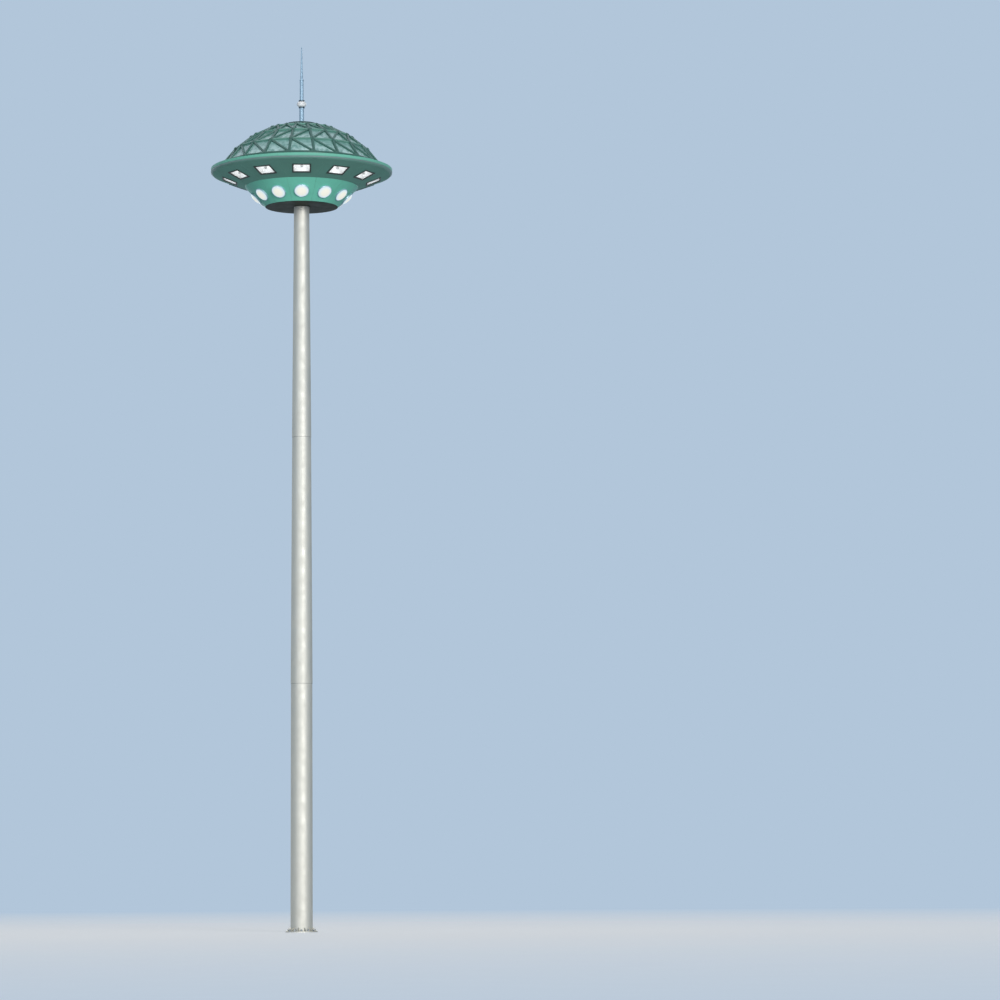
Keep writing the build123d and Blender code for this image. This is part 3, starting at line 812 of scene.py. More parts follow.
class Growth(Tree):
    """A Geometry Nodes tree with named inputs, which turns a guide into finished pieces."""

    sizes: dict[str, str] = {}

    def __init__(self, name: str) -> None:
        """Builds the tree: its inputs, its shape, and the finish on the realized result.

        Args:
            name: The tree's name.
        """
        super().__init__(bpy.data.node_groups.new(name, "GeometryNodeTree"))
        sockets = self.tree.interface
        for way in ("INPUT", "OUTPUT"):
            sockets.new_socket("Geometry", in_out=way, socket_type="NodeSocketGeometry")
        self.identifiers = {}
        for label, kind in (self.sizes | {"Finish": "NodeSocketMaterial"}).items():
            self.identifiers[label] = sockets.new_socket(label, in_out="INPUT", socket_type=kind).identifier
        self.given = self.add("NodeGroupInput").outputs
        real = self.first("GeometryNodeRealizeInstances", {0: self.shape()})
        painted = self.first("GeometryNodeSetMaterial", {"Geometry": real, "Material": self.given["Finish"]})
        self.add("NodeGroupOutput", {0: painted})

    def shape(self) -> Socket:
        """The geometry that the tree makes."""
        raise NotImplementedError

    def named(self, field: Field, kind: str) -> Socket:
        """The value of one of the guide's attributes."""
        return self.first("GeometryNodeInputNamedAttribute", {"Name": field.value}, data_type=kind)

    def aimed(self, **inputs: Socket) -> Socket:
        """The turn that points a piece's Z along a vector."""
        return self.first("FunctionNodeAlignRotationToVector", inputs, axis="Z")

    def curve(self) -> Socket:
        """The guide's edges as curves."""
        return self.first("GeometryNodeMeshToCurve", {"Mesh": self.given["Geometry"]})

    def instances(self, points: Any, piece: Any, turn: Any, scale: Any = (1.0, 1.0, 1.0)) -> Socket:
        """A piece on every point, turned and scaled."""
        inputs = {"Points": points, "Instance": piece, "Rotation": turn, "Scale": scale}
        return self.first("GeometryNodeInstanceOnPoints", inputs)

    def turned_copies(self, piece: Socket) -> Socket:
        """Instances of a piece at even angles about the mast's axis, from the angle First on.

        Args:
            piece: The geometry to repeat.

        Returns:
            As many instances as the input Copies says.
        """
        copies = self.given["Copies"]
        step = self.maths("DIVIDE", CIRCLE, copies)
        onwards = self.maths("MULTIPLY", self.first("GeometryNodeInputIndex"), step)
        inputs = {"Axis": (0.0, 0.0, 1.0), "Angle": self.maths("ADD", self.given["First"], onwards)}
        turn = self.first("FunctionNodeAxisAngleToRotation", inputs)
        return self.instances(self.first("GeometryNodePoints", {"Count": copies}), piece, turn)

    def grow(self, guide: bpy.types.Object, slot: Slot, **values: float) -> bpy.types.Object:
        """Runs the tree on a guide, and leaves the result as the guide's own plain mesh.

        Args:
            guide: The object that the tree reads.
            slot: Finish of the result.
            values: The tree's inputs, in small letters and with underscores for spaces.

        Returns:
            The guide, now the finished shape.
        """
        modifier = guide.modifiers.new(self.tree.name, "NODES")
        modifier.node_group = self.tree
        for label, value in values.items():
            modifier[self.identifiers[label.replace("_", " ").title()]] = value
        modifier[self.identifiers["Finish"]] = FINISHES[slot]
        graph = bpy.context.evaluated_depsgraph_get()
        grown = guide.evaluated_get(graph)
        mesh = bpy.data.meshes.new_from_object(grown, preserve_all_data_layers=True, depsgraph=graph)
        guide.modifiers.clear()
        guide.data = mesh
        return guide


class RoundTheMast(Growth):
    """Repeats the guide itself at even angles about the mast's axis."""

    sizes = {"Copies": COUNT, "First": NUMBER}

    def shape(self) -> Socket:
        """The guide's copies."""
        return self.turned_copies(self.given["Geometry"])


class Fasteners(Growth):
    """Puts a washer, a head and a stud on each of the guide's points, and repeats the row about the mast."""

    sizes = {"Sides": COUNT, "Head Radius": NUMBER, "Head Height": NUMBER, "Washer Radius": NUMBER,
             "Washer Height": NUMBER, "Stud Radius": NUMBER, "Stud Height": NUMBER, "Copies": COUNT,
             "First": NUMBER}
    washer_sides: int = 20
    washer_taper: float = 0.94
    head_taper: float = 0.9
    stud_sides: int = 12
    stud_taper: float = 0.85

    def stage(self, name: str, sides: Any, taper: float, foot: Any) -> Socket:
        """One turned stage of the fastener, standing on the one before.

        Args:
            name: The word that its inputs start with.
            sides: Number of sides.
            taper: Radius at its top, as a share of the radius at its foot.
            foot: Height that it stands at.

        Returns:
            The stage's geometry.
        """
        radius = self.given[f"{name} Radius"]
        inputs = {"Vertices": sides, "Radius Bottom": radius, "Depth": self.given[f"{name} Height"],
                  "Radius Top": self.maths("MULTIPLY", radius, taper)}
        cone = self.first("GeometryNodeMeshCone", inputs)
        lift = self.first("ShaderNodeCombineXYZ", {"Z": foot})
        return self.first("GeometryNodeTransform", {"Geometry": cone, "Translation": lift})

    def shape(self) -> Socket:
        """Stacks the stages and repeats them.

        Returns:
            The fasteners of every row.
        """
        washer_top = self.given["Washer Height"]
        head_top = self.maths("ADD", washer_top, self.given["Head Height"])
        whole = self.add("GeometryNodeJoinGeometry")
        for part in (self.stage("Washer", self.washer_sides, self.washer_taper, 0.0),
                     self.stage("Head", self.given["Sides"], self.head_taper, washer_top),
                     self.stage("Stud", self.stud_sides, self.stud_taper, head_top)):
            self.tree.links.new(part, whole.inputs[0])
        aim = self.aimed(Vector=self.named(Field.OUT, "FLOAT_VECTOR"))
        return self.turned_copies(self.instances(self.given["Geometry"], whole.outputs[0], aim))


class Bars(Growth):
    """Lays a bar with rounded corners along each of the guide's edges, on its inner side."""

    sizes = {"Depth": NUMBER, "Corner": NUMBER, "Centre Height": NUMBER}
    corner_points: int = 2

    def shape(self) -> Socket:
        """Turns a bar's outer side away from the centre on every edge, as wide as the edge's attribute says.

        Returns:
            A bar on every edge.
        """
        ends = self.add("GeometryNodeInputMeshEdgeVertices").outputs
        along = self.vector("SUBTRACT", ends["Position 2"], ends["Position 1"])
        total = self.vector("ADD", ends["Position 1"], ends["Position 2"])
        middle = self.first("ShaderNodeVectorMath", {0: total, "Scale": 0.5}, operation="SCALE")
        centre = self.first("ShaderNodeCombineXYZ", {"Z": self.given["Centre Height"]})
        out = self.vector("NORMALIZE", self.vector("SUBTRACT", middle, centre))
        kept = self.given["Geometry"]
        fields = []
        for value in (along, out):
            store = self.add("GeometryNodeCaptureAttribute", {"Geometry": kept}, domain="EDGE")
            store.capture_items.new("VECTOR", "kept")
            self.tree.links.new(value, store.inputs[1])
            kept = store.outputs[0]
            fields.append(store.outputs[1])
        along, out = fields
        inputs = {"Rotation": self.aimed(Vector=along), "Vector": out}
        turn = self.first("FunctionNodeAlignRotationToVector", inputs, axis="Y", pivot_axis="Z")
        inputs = {0: self.named(Field.WIDTH, "FLOAT"), 1: self.given["Depth"], 2: self.length(along)}
        size = self.first("ShaderNodeCombineXYZ", inputs)
        points = self.first("GeometryNodeMeshToPoints", {"Mesh": kept}, mode="EDGES")
        return self.instances(points, self.bar(), turn, size)

    def bar(self) -> Socket:
        """Sweeps a profile with rounded corners along a line.

        Returns:
            A bar of unit size, with its outer side on its axis.
        """
        profile = self.first("GeometryNodeCurvePrimitiveQuadrilateral", {"Width": 1.0, "Height": 1.0})
        share = self.maths("DIVIDE", self.given["Corner"], self.given["Depth"])
        inputs = {"Curve": profile, "Radius": share, "Count": self.corner_points}
        profile = self.first("GeometryNodeFilletCurve", inputs, mode="POLY")
        profile = self.first("GeometryNodeTransform", {"Geometry": profile, "Translation": (0.0, -0.5, 0.0)})
        inputs = {"Start": (0.0, 0.0, -0.5), "End": (0.0, 0.0, 0.5)}
        line = self.first("GeometryNodeCurvePrimitiveLine", inputs)
        inputs = {"Curve": line, "Profile Curve": profile, "Fill Caps": True}
        return self.first("GeometryNodeCurveToMesh", inputs)


class WeldBead(Growth):
    """Lays a weld's overlapping ripples along the guide's edges."""

    sizes = {"Pitch": NUMBER, "Width": NUMBER}
    ripple_sides: int = 6
    ripple_rings: int = 4
    flatness: float = 0.7

    def shape(self) -> Socket:
        """Sets a flattened ripple at every step of the pitch.

        Returns:
            The ripples.
        """
        inputs = {"Curve": self.curve(), "Length": self.given["Pitch"]}
        points = self.add("GeometryNodeCurveToPoints", inputs, mode="LENGTH").outputs
        inputs = {"Segments": self.ripple_sides, "Rings": self.ripple_rings,
                  "Radius": self.maths("MULTIPLY", self.given["Width"], 0.5)}
        ripple = self.first("GeometryNodeMeshUVSphere", inputs)
        return self.instances(points["Points"], ripple, points["Rotation"], (1.0, 1.0, self.flatness))


class RoundBead(Growth):
    """Runs a round bead along the guide's edges."""

    sizes = {"Radius": NUMBER, "Sides": COUNT}

    def shape(self) -> Socket:
        """Sweeps a circle along the guide.

        Returns:
            The bead, closed at loose ends.
        """
        inputs = {"Resolution": self.given["Sides"], "Radius": self.given["Radius"]}
        profile = self.first("GeometryNodeCurvePrimitiveCircle", inputs)
        inputs = {"Curve": self.curve(), "Profile Curve": profile, "Fill Caps": True}
        return self.first("GeometryNodeCurveToMesh", inputs)


ROUND = RoundTheMast("round the mast")
FASTENERS = Fasteners("fasteners")
BARS = Bars("lattice bars")
WELD = WeldBead("weld bead")
BEAD = RoundBead("round bead")


def path(name: str, points: list[Vector], closed: bool = True) -> bpy.types.Object:
    """A guide of edges from point to point.

    Args:
        name: The guide's name.
        points: Its points in order.
        closed: Whether the last point joins the first.

    Returns:
        The guide.
    """
    count = len(points)
    mesh = bpy.data.meshes.new(name)
    mesh.from_pydata(points, [(i, (i + 1) % count) for i in range(count if closed else count - 1)], [])
    return show(mesh, name)


def ring(name: str, radius: float, z: float, sides: int = 96, first: float = 0.0) -> bpy.types.Object:
    """A guide of edges in a level circle, or a polygon with few sides, about the mast's axis."""
    return path(name, [around(radius, first + CIRCLE * i / sides, z) for i in range(sides)])


def bead(guide: bpy.types.Object, slot: Slot, radius: float, copies: int = 1, first: float = FRONT,
         sides: int = 10, sharp: float = 50.0) -> None:
    """Turns a guide of edges into a round bead, repeated about the mast.

    Args:
        guide: The line that the bead follows.
        slot: Its finish.
        radius: Its radius.
        copies: How many beads stand about the mast.
        first: Angle of the first one in radians.
        sides: Sides of its section.
        sharp: Degrees from which an edge counts as sharp.
    """
    BEAD.grow(guide, slot, radius=radius, sides=sides)
    if copies > 1:
        ROUND.grow(guide, slot, copies=copies, first=first)
    soften(guide.data, sharp)
    fit(guide, slot)


@dataclass(frozen=True)
class Bolt:
    """Sizes of one kind of fastener."""

    head_radius: float
    head_height: float
    washer_radius: float
    washer_height: float
    sides: int = 6
    stud_radius: float = 0.0001
    stud_height: float = 0.0001

    def place(self, name: str, points: list[Stud], slot: Slot, copies: int, first: float = FRONT) -> None:
        """Puts fasteners of this kind on a row of points, and repeats the row about the mast.

        Args:
            name: The piece's name.
            points: Place and outward direction of each fastener.
            slot: Their finish.
            copies: Rows about the mast.
            first: Angle of the first row in radians.
        """
        mesh = bpy.data.meshes.new(name)
        mesh.from_pydata([spot for spot, out in points], [], [])
        mark(mesh, Field.OUT, [out for spot, out in points])
        fit(FASTENERS.grow(show(mesh, name), slot, copies=copies, first=first, **asdict(self)), slot)


@dataclass
class Foot:
    """The foot plate with its gussets, anchors and weld."""

    plate: EasedCopy = EasedCopy("base_flange", "foot_plate", Slot.MAST, 0.004)
    gussets: EasedCopy = EasedCopy("base_gussets", "foot_gussets", Slot.MAST, 0.002)
    anchor_count: int = 12
    anchor_circle: float = 0.535
    plate_height: float = 0.04
    weld_radius: float = 0.4365
    weld_width: float = 0.018
    weld_pitch: float = 0.007
    anchors: Bolt = Bolt(0.036, 0.034, 0.044, 0.007, 6, 0.021, 0.052)

    def build(self) -> None:
        """Dresses the foot."""
        self.plate.dress()
        self.gussets.dress()
        nut = Vector((self.anchor_circle, 0.0, self.plate_height))
        self.anchors.place("anchor_nuts", [(nut, UP)], Slot.STEEL, self.anchor_count)
        weld = ring("foot_weld", self.weld_radius, self.plate_height)
        fit(WELD.grow(weld, Slot.MAST, pitch=self.weld_pitch, width=self.weld_width), Slot.MAST)


@dataclass
class Shaft:
    """The mast's three tubes, their lengthwise seams and the sealed edges of their slip joints."""

    places: tuple[str, ...] = ("lower", "middle", "upper")
    foot_radii: tuple[float, ...] = (0.432, 0.4273, 0.3793)
    top_radii: tuple[float, ...] = (0.418, 0.371, 0.3025)
    heights: tuple[float, ...] = (0.04, 9.66, 19.36, 28.53)
    eased: float = 0.003
    seal_radius: float = 0.007
    seal_inset: float = 0.0112
    seam_radius: float = 0.005
    seam_depth: float = 0.0035
    seam_turn: float = math.radians(150.0)

    def radius(self, z: float, section: int = 0) -> float:
        """Outer radius of a section at a height.

        Args:
            z: Height above the foot plate's underside.
            section: The section's number, from the foot up.

        Returns:
            The radius.
        """
        low, high = self.heights[section], self.heights[section + 1]
        share = (z - low) / (high - low)
        return self.foot_radii[section] + share * (self.top_radii[section] - self.foot_radii[section])

    def seam(self, section: int) -> None:
        """The ground-down weld that closes a section's tube, turned a third of a circle in each.

        Args:
            section: The section's number.
        """
        turn = self.seam_turn + CIRCLE * section / len(self.places)
        ends = [around(self.radius(z, section) - self.seam_depth, turn, z)
                for z in self.heights[section:section + 2]]
        bead(path(f"{self.places[section]}_seam_weld", ends, False), Slot.MAST, self.seam_radius)

    def seal(self, section: int) -> None:
        """The bead of sealant under the edge of a section that slips over the one below.

        Args:
            section: The section's number.
        """
        guide = ring(f"{self.places[section]}_joint_sealant", self.foot_radii[section] - self.seal_inset,
                     self.heights[section])
        bead(guide, Slot.COLLAR, self.seal_radius)

    def build(self) -> None:
        """Dresses the shaft."""
        for section, place in enumerate(self.places):
            EasedCopy(f"mast_{place}_section", f"{place}_mast_tube", Slot.MAST, self.eased).dress()
            self.seam(section)
            if section:
                self.seal(section)


@dataclass
class ServiceDoor:
    """The service door at the mast's back, with its frame, weld, gasket, hinges and lock."""

    shaft: Shaft
    pieces: tuple[EasedCopy, ...] = (
        EasedCopy("door_frame", "service_door_frame", Slot.MAST, 0.002),
        EasedCopy("service_door", "service_door_leaf", Slot.MAST, 0.0015),
        EasedCopy("door_hinges", "service_door_hinges", Slot.MAST, 0.002),
        EasedCopy("door_lock", "service_door_lock", Slot.LOCK, 0.002))
    bottom: float = 0.7
    height: float = 1.1
    width: float = 0.32
    frame_width: float = 0.024
    frame_proud: float = 0.016
    gap: float = 0.003
    weld_radius: float = 0.006
    gasket_radius: float = 0.0022
    arc_steps: int = 14
    lock_side: float = -0.12
    lock_reach: float = 0.0285
    key: Bolt = Bolt(0.009, 0.006, 0.014, 0.002, 3)
    hinge_screw: Bolt = Bolt(0.006, 0.003, 0.008, 0.001, 8)
    hinge_steps: tuple[float, ...] = (-0.028, 0.0, 0.028)
    hinge_side: float = 0.116
    hinge_inset: float = 0.045

    def __post_init__(self) -> None:
        """Works out the door's middle and the half length of its straight sides."""
        self.middle = self.bottom + self.height / 2
        self.spread = (self.height - self.width) / 2

    def outline(self, margin: float, proud: float) -> list[Vector]:
        """The door's round-ended outline on the mast's wall.

        Args:
            margin: How far outside the door's opening it runs.
            proud: How far off the wall it runs.

        Returns:
            Its points in order.
        """
        points = []
        for side in (1.0, -1.0):
            for i in range(self.arc_steps + 1):
                spot = around(self.width / 2 + margin, math.pi * i / self.arc_steps)
                points.append(self.on_wall(side * spot.x, self.middle + side * (self.spread + spot.y), proud))
        return points

    def on_wall(self, x: float, z: float, proud: float) -> Vector:
        """A point at a height and to one side on the mast's back, off the wall by a distance."""
        reach = self.shaft.radius(z) + proud
        return Vector((x, math.sqrt(reach ** 2 - x ** 2), z))

    def fastened(self, name: str, kind: Bolt, places: list[Point], proud: float) -> None:
        """Fasteners on the door's curved face.

        Args:
            name: The piece's name.
            kind: The fasteners' sizes.
            places: Sideways place and height of each.
            proud: How far off the wall they stand.
        """
        spots = [self.on_wall(x, z, proud) for x, z in places]
        points = [(spot, Vector((spot.x, spot.y, 0.0)).normalized()) for spot in spots]
        kind.place(name, points, Slot.STEEL, 1, 0.0)

    def build(self) -> None:
        """Dresses the door."""
        for piece in self.pieces:
            piece.dress()
        bead(path("door_frame_weld", self.outline(self.frame_width, 0.0)), Slot.MAST, self.weld_radius)
        gasket = self.outline(-self.gap / 2, self.frame_proud - self.gap)
        bead(path("door_gasket", gasket), Slot.COLLAR, self.gasket_radius)
        self.fastened("door_key_post", self.key, [(self.lock_side, self.middle)], self.lock_reach)
        heights = [self.middle + end * (self.spread - self.hinge_inset) + step
                   for end in (-1.0, 1.0) for step in self.hinge_steps]
        self.fastened("hinge_screws", self.hinge_screw, [(self.hinge_side, z) for z in heights],
                      self.frame_proud)


@dataclass
class Saucer:
    """The saucer's cladding, its seals and trim, and the rows of screws that hold it."""

    sheets: tuple[EasedCopy, ...] = (
        EasedCopy("bowl_bottom_plate", "bowl_bottom", Slot.PLATE, 0.002),
        EasedCopy("bowl_panels", "bowl_cladding", Slot.HEAD, 0.0015),
        EasedCopy("soffit_panels", "soffit_cladding", Slot.SOFFIT, 0.0015))
    rolled: EasedCopy = EasedCopy("rim_panels", "rolled_rim", Slot.HEAD, 0.0015)
    deck: EasedCopy = EasedCopy("deck_panels", "deck_cladding", Slot.HEAD, 0.0015)
    panels: int = 12
    bowl_foot: Point = (1.43, 28.5383)
    crease: Point = (2.24, 29.33)
    rim_foot: Point = (3.59, 29.86)
    rim_top: Point = (3.59, 30.04)
    deck_inner: Point = (3.085, 30.06)
    bottom: float = 28.53
    rim_roll: float = 0.14
    roll_steps: int = 10
    roll_fade: float = 0.03
    # Share of the soffit's tone on the rim's upright band: painted shade.
    band_shade: float = 0.42
    trim_radius: float = 0.012
    trim_depth: float = 0.003
    trim_turn: float = math.radians(-25.0)
    trim_sides: int = 144
    seal_radius: float = 0.0026
    seal_depth: float = 0.0014
    seal_sides: int = 8
    seal_end: float = 0.0078
    screw: Bolt = Bolt(0.009, 0.005, 0.013, 0.0015, 8)
    screw_offset: float = 0.028
    screw_margin: float = 0.06
    bowl_screws: int = 9
    soffit_screws: int = 10
    soffit_share: float = 0.88
    deck_screws: int = 5
    bottom_rings: tuple[tuple[float, int], ...] = ((1.385, 36), (0.37, 12))

    def __post_init__(self) -> None:
        """Works out the centre of the rim's rolled edge and the angle that it turns through."""
        out = outwards(station(self.crease, self.rim_foot, self.rim_foot[0]))
        self.roll_turn = math.atan2(out.z, out.x)
        self.roll_centre = (self.rim_foot[0] - self.rim_roll,
                            self.rim_foot[1] + self.rim_roll * (1.0 - out.x) / -out.z)
        self.first_seam = FRONT + math.pi / self.panels

    def on_roll(self, turn: float, depth: float = 0.0) -> Point:
        """Radius and height of a point on the rim's rolled edge, or a depth under it."""
        spot = around(self.rim_roll - depth, turn)
        return self.roll_centre[0] + spot.x, self.roll_centre[1] + spot.y

    def seam_seals(self) -> None:
        """The sealant in the seams between the panels, from the bowl's foot up to the rim's top."""
        sunk = outwards(station(self.bowl_foot, self.crease, self.bowl_foot[0])) * self.seal_depth
        drop = [(radius - sunk.x, z - sunk.z) for radius, z in (self.bowl_foot, self.crease)]
        drop += [self.on_roll(self.roll_turn * (1.0 - i / self.roll_steps), self.seal_depth)
                 for i in range(self.roll_steps + 1)]
        drop.append((self.rim_top[0] - self.seal_depth, self.rim_top[1] - self.seal_end))
        guide = path("seam_seals", [Vector((radius, 0.0, z)) for radius, z in drop], False)
        bead(guide, Slot.SOFFIT, self.seal_radius, self.panels, self.first_seam, self.seal_sides)

    def rim(self) -> None:
        """The rolled rim and its trim. Its paint takes the soffit's tone where it turns under, partly a real
        colour break and partly painted shade.
        """
        piece = self.rolled.shape()
        # Painted shade: the upright band takes a share of the soffit's tone, and the turned-under edge takes
        # all of it.
        light_and_shade_marks = []
        for vertex in piece.data.vertices:
            turned = min(max((self.roll_centre[1] - vertex.co.z) / self.roll_fade, 0.0), 1.0)
            light_and_shade_marks.append(self.band_shade + (1.0 - self.band_shade) * turned)
        mark(piece.data, Field.SHADE, light_and_shade_marks)
        fit(piece, self.rolled.slot, self.rolled.node)
        reach, height = self.on_roll(self.trim_turn, self.trim_depth)
        bead(ring("rim_trim", reach, height, self.trim_sides), Slot.STEEL, self.trim_radius)

    def seam_screws(self, name: str, start: Point, end: Point, count: int, slot: Slot) -> None:
        """A row of screws on each side of every seam of a sloping ring of panels.

        Args:
            name: The piece's name.
            start: Radius and height of the ring's lower edge.
            end: Radius and height of its upper edge.
            count: Screws in a row.
            slot: Their finish.
        """
        place = station(start, end, start[0])
        step = (math.dist(start, end) - 2.0 * self.screw_margin) / (count - 1)
        spots = [Vector((side, self.screw_margin + step * i, 0.0))
                 for side in (-self.screw_offset, self.screw_offset) for i in range(count)]
        self.screw.place(name, studs(place, spots), slot, self.panels, self.first_seam)

    def build(self) -> None:
        """Dresses the saucer."""
        for sheet in self.sheets:
            sheet.dress()
        self.rim()
        self.seam_seals()
        self.deck.dress()
        self.seam_screws("bowl_screws", self.bowl_foot, self.crease, self.bowl_screws, Slot.HEAD)
        end = tuple(a + self.soffit_share * (b - a) for a, b in zip(self.crease, self.rim_foot))
        self.seam_screws("soffit_screws", self.crease, end, self.soffit_screws, Slot.SOFFIT)
        self.seam_screws("deck_screws", self.rim_top, self.deck_inner, self.deck_screws, Slot.HEAD)
        for radius, count in self.bottom_rings:
            spot = Vector((radius, 0.0, self.bottom))
            self.screw.place(f"bottom_screws_{count}", [(spot, -UP)], Slot.PLATE, count,
                             FRONT + math.pi / count)


def ringed(piece: bpy.types.Object, slot: Slot, copies: int, node: str) -> None:
    """Repeats a piece about the mast from the front on, and fits it in a node's place."""
    fit(ROUND.grow(piece, slot, copies=copies, first=FRONT), slot, node)


@dataclass
class RoundLights:
    """The ring of round floodlights in the bowl."""

    saucer: Saucer
    ring_radius: float = 1.79
    outer_radius: float = 0.29
    proud: float = 0.045
    bezel_width: float = 0.026
    bezel_edge: float = 0.0065
    depth: float = 0.2
    back_radius: float = 0.2
    dish: float = 0.065
    lens_rise: float = 0.07
    sides: int = 64
    lens_rings: int = 16
    groove: float = 0.0025
    drum_sharpness: float = 40.0
    lens_sharpness: float = 60.0
    screw: Bolt = Bolt(0.006, 0.004, 0.009, 0.001, 6)
    screws: int = 8

    def __post_init__(self) -> None:
        """Finds the middle of the first lamp's mouth."""
        self.place = station(self.saucer.bowl_foot, self.saucer.crease, self.ring_radius)

    def housings(self) -> None:
        """The drums with their chamfered bezels."""
        lip, edge = self.outer_radius - self.bezel_width, self.bezel_edge
        outline = [(0.0, -self.depth), (self.back_radius, -self.depth), (self.outer_radius, -self.dish),
                   (self.outer_radius, self.proud - edge), (self.outer_radius - edge, self.proud),
                   (lip + edge, self.proud), (lip, self.proud - edge), (lip, 0.0), (0.0, -self.dish)]
        drum = lathe("floodlight_housings", outline, self.sides, self.place, self.drum_sharpness)
        ringed(drum, Slot.HOUSING, self.saucer.panels, "bowl_lamp_housings")

    def lenses(self) -> None:
        """The bulging lenses, with shallow prismatic rings pressed into their faces."""
        rim = self.outer_radius - self.bezel_width - SEAT_GAP
        sphere = (rim ** 2 + self.lens_rise ** 2) / (2.0 * self.lens_rise)
        top = self.proud + self.lens_rise
        outline = [(0.0, SEAT_GAP), (rim, SEAT_GAP)]
        steps = 2 * self.lens_rings
        for i in range(steps):
            radius = rim * (1.0 - i / steps)
            height = top - sphere + math.sqrt(sphere ** 2 - radius ** 2)
            outline.append((radius, height - self.groove * (i % 2)))
        outline.append((0.0, top))
        lens = lathe("floodlight_lenses", outline, self.sides, self.place, self.lens_sharpness)
        ringed(lens, Slot.LENS, self.saucer.panels, "bowl_lamp_lenses")

    def bezel_screws(self) -> None:
        """Screws round each bezel."""
        radius = self.outer_radius - self.bezel_width / 2
        spots = [around(radius, CIRCLE * (i + 0.5) / self.screws, self.proud) for i in range(self.screws)]
        self.screw.place("bezel_screws", studs(self.place, spots), Slot.STEEL, self.saucer.panels)

    def build(self) -> None:
        """Makes the floodlights."""
        self.housings()
        self.lenses()
        self.bezel_screws()


@dataclass
class WindowLights:
    """The rectangular floodlights behind the soffit's windows."""

    saucer: Saucer
    pieces: tuple[EasedCopy, ...] = (
        EasedCopy("soffit_window_frames", "window_frames", Slot.WINDOW, 0.004),
        EasedCopy("soffit_window_glass", "window_panes", Slot.GLAZING))
    tray: EasedCopy = EasedCopy("soffit_reflector_trays", "reflector_trays", Slot.REFLECTOR, 0.001)
    ring_radius: float = 2.84
    half_width: float = 0.315
    half_length: float = 0.26
    frame_width: float = 0.05
    frame_proud: float = 0.014
    frame_depth: float = 0.026
    tray_depth: float = 0.17
    tray_wall: float = 0.004
    holder_radius: float = 0.032
    holder_length: float = 0.04
    cooling_rings: int = 4
    cooling_ring: tuple[Point, ...] = ((1.0, 1.0), (0.88, 1.3), (0.88, 1.7), (1.0, 2.0))
    bulb_radius: float = 0.058
    bulb_length: float = 0.12
    bulb_steps: int = 12
    bulb_sides: int = 32
    bulb_sharpness: float = 40.0
    gasket_radius: float = 0.006
    gasket_sides: int = 8
    screw: Bolt = Bolt(0.008, 0.005, 0.012, 0.0015, 6)
    screws_across: int = 4
    screws_along: int = 3

    def __post_init__(self) -> None:
        """Finds the middle of the first window, on the soffit's face."""
        self.place = station(self.saucer.crease, self.saucer.rim_foot, self.ring_radius)

    def frame_screws(self) -> None:
        """Screws along the middle of each frame's four sides."""
        x, y = self.half_width + self.frame_width / 2, self.half_length + self.frame_width / 2
        across = [2.0 * i / self.screws_across - 1.0 for i in range(self.screws_across)]
        along = [2.0 * i / self.screws_along - 1.0 for i in range(self.screws_along)]
        spots = [(share * x * side, side * y) for share in across for side in (-1.0, 1.0)]
        spots += [(-side * x, share * y * side) for share in along for side in (-1.0, 1.0)]
        points = studs(self.place, [Vector((u, v, self.frame_proud)) for u, v in spots])
        self.screw.place("window_frame_screws", points, Slot.WINDOW, self.saucer.panels)

    def gaskets(self) -> None:
        """The rubber bead that holds each pane in its frame."""
        lift = self.gasket_radius / 2
        x, y = self.half_width - lift, self.half_length - lift
        corners = [self.place @ Vector((u, v, lift)) for u, v in ((-x, -y), (x, -y), (x, y), (-x, y))]
        bead(path("window_gaskets", corners), Slot.WINDOW, self.gasket_radius, self.saucer.panels,
             sides=self.gasket_sides)

    def trays(self) -> None:
        """The reflector trays, each vertex marked with its place across its window."""
        piece = self.tray.shape()
        to_window = self.place.inverted()
        step = CIRCLE / self.saucer.panels
        spots = []
        for vertex in piece.data.vertices:
            turn = FRONT + round((math.atan2(vertex.co.y, vertex.co.x) - FRONT) / step) * step
            spot = to_window @ (Matrix.Rotation(-turn, 4, "Z") @ vertex.co)
            spots.append(Vector((spot.x / self.half_width, spot.y / self.half_length, 0.0)))
        mark(piece.data, Field.ACROSS, spots)
        fit(piece, self.tray.slot, self.tray.node)

    def lamps(self) -> None:
        """The egg-shaped bulbs in their ribbed holders, on the middle of each tray's back."""
        outline = [(0.0, 0.0), (self.holder_radius, 0.0)]
        rib = self.holder_length / (2 * self.cooling_rings)
        for i in range(self.cooling_rings):
            outline += [(width * self.holder_radius, (2 * i + lift) * rib)
                        for width, lift in self.cooling_ring]
        half = self.bulb_length / 2
        neck = math.acos(self.holder_radius / self.bulb_radius)
        middle = self.holder_length + half * math.sin(neck)
        for i in range(1, self.bulb_steps):
            turn = -neck + (neck + math.pi / 2) * i / self.bulb_steps
            outline.append((self.bulb_radius * math.cos(turn), middle + half * math.sin(turn)))
        outline.append((0.0, middle + half))
        back = Vector((0.0, 0.0, SEAT_GAP + self.tray_wall - self.frame_depth - self.tray_depth))
        lamp = lathe("window_lamps", outline, self.bulb_sides, self.place @ Matrix.Translation(back),
                     self.bulb_sharpness)
        ringed(lamp, Slot.LAMP, self.saucer.panels, "soffit_lamps")

    def build(self) -> None:
        """Dresses the windows."""
        for piece in self.pieces:
            piece.dress()
        self.trays()
        self.lamps()
        self.gaskets()
        self.frame_screws()


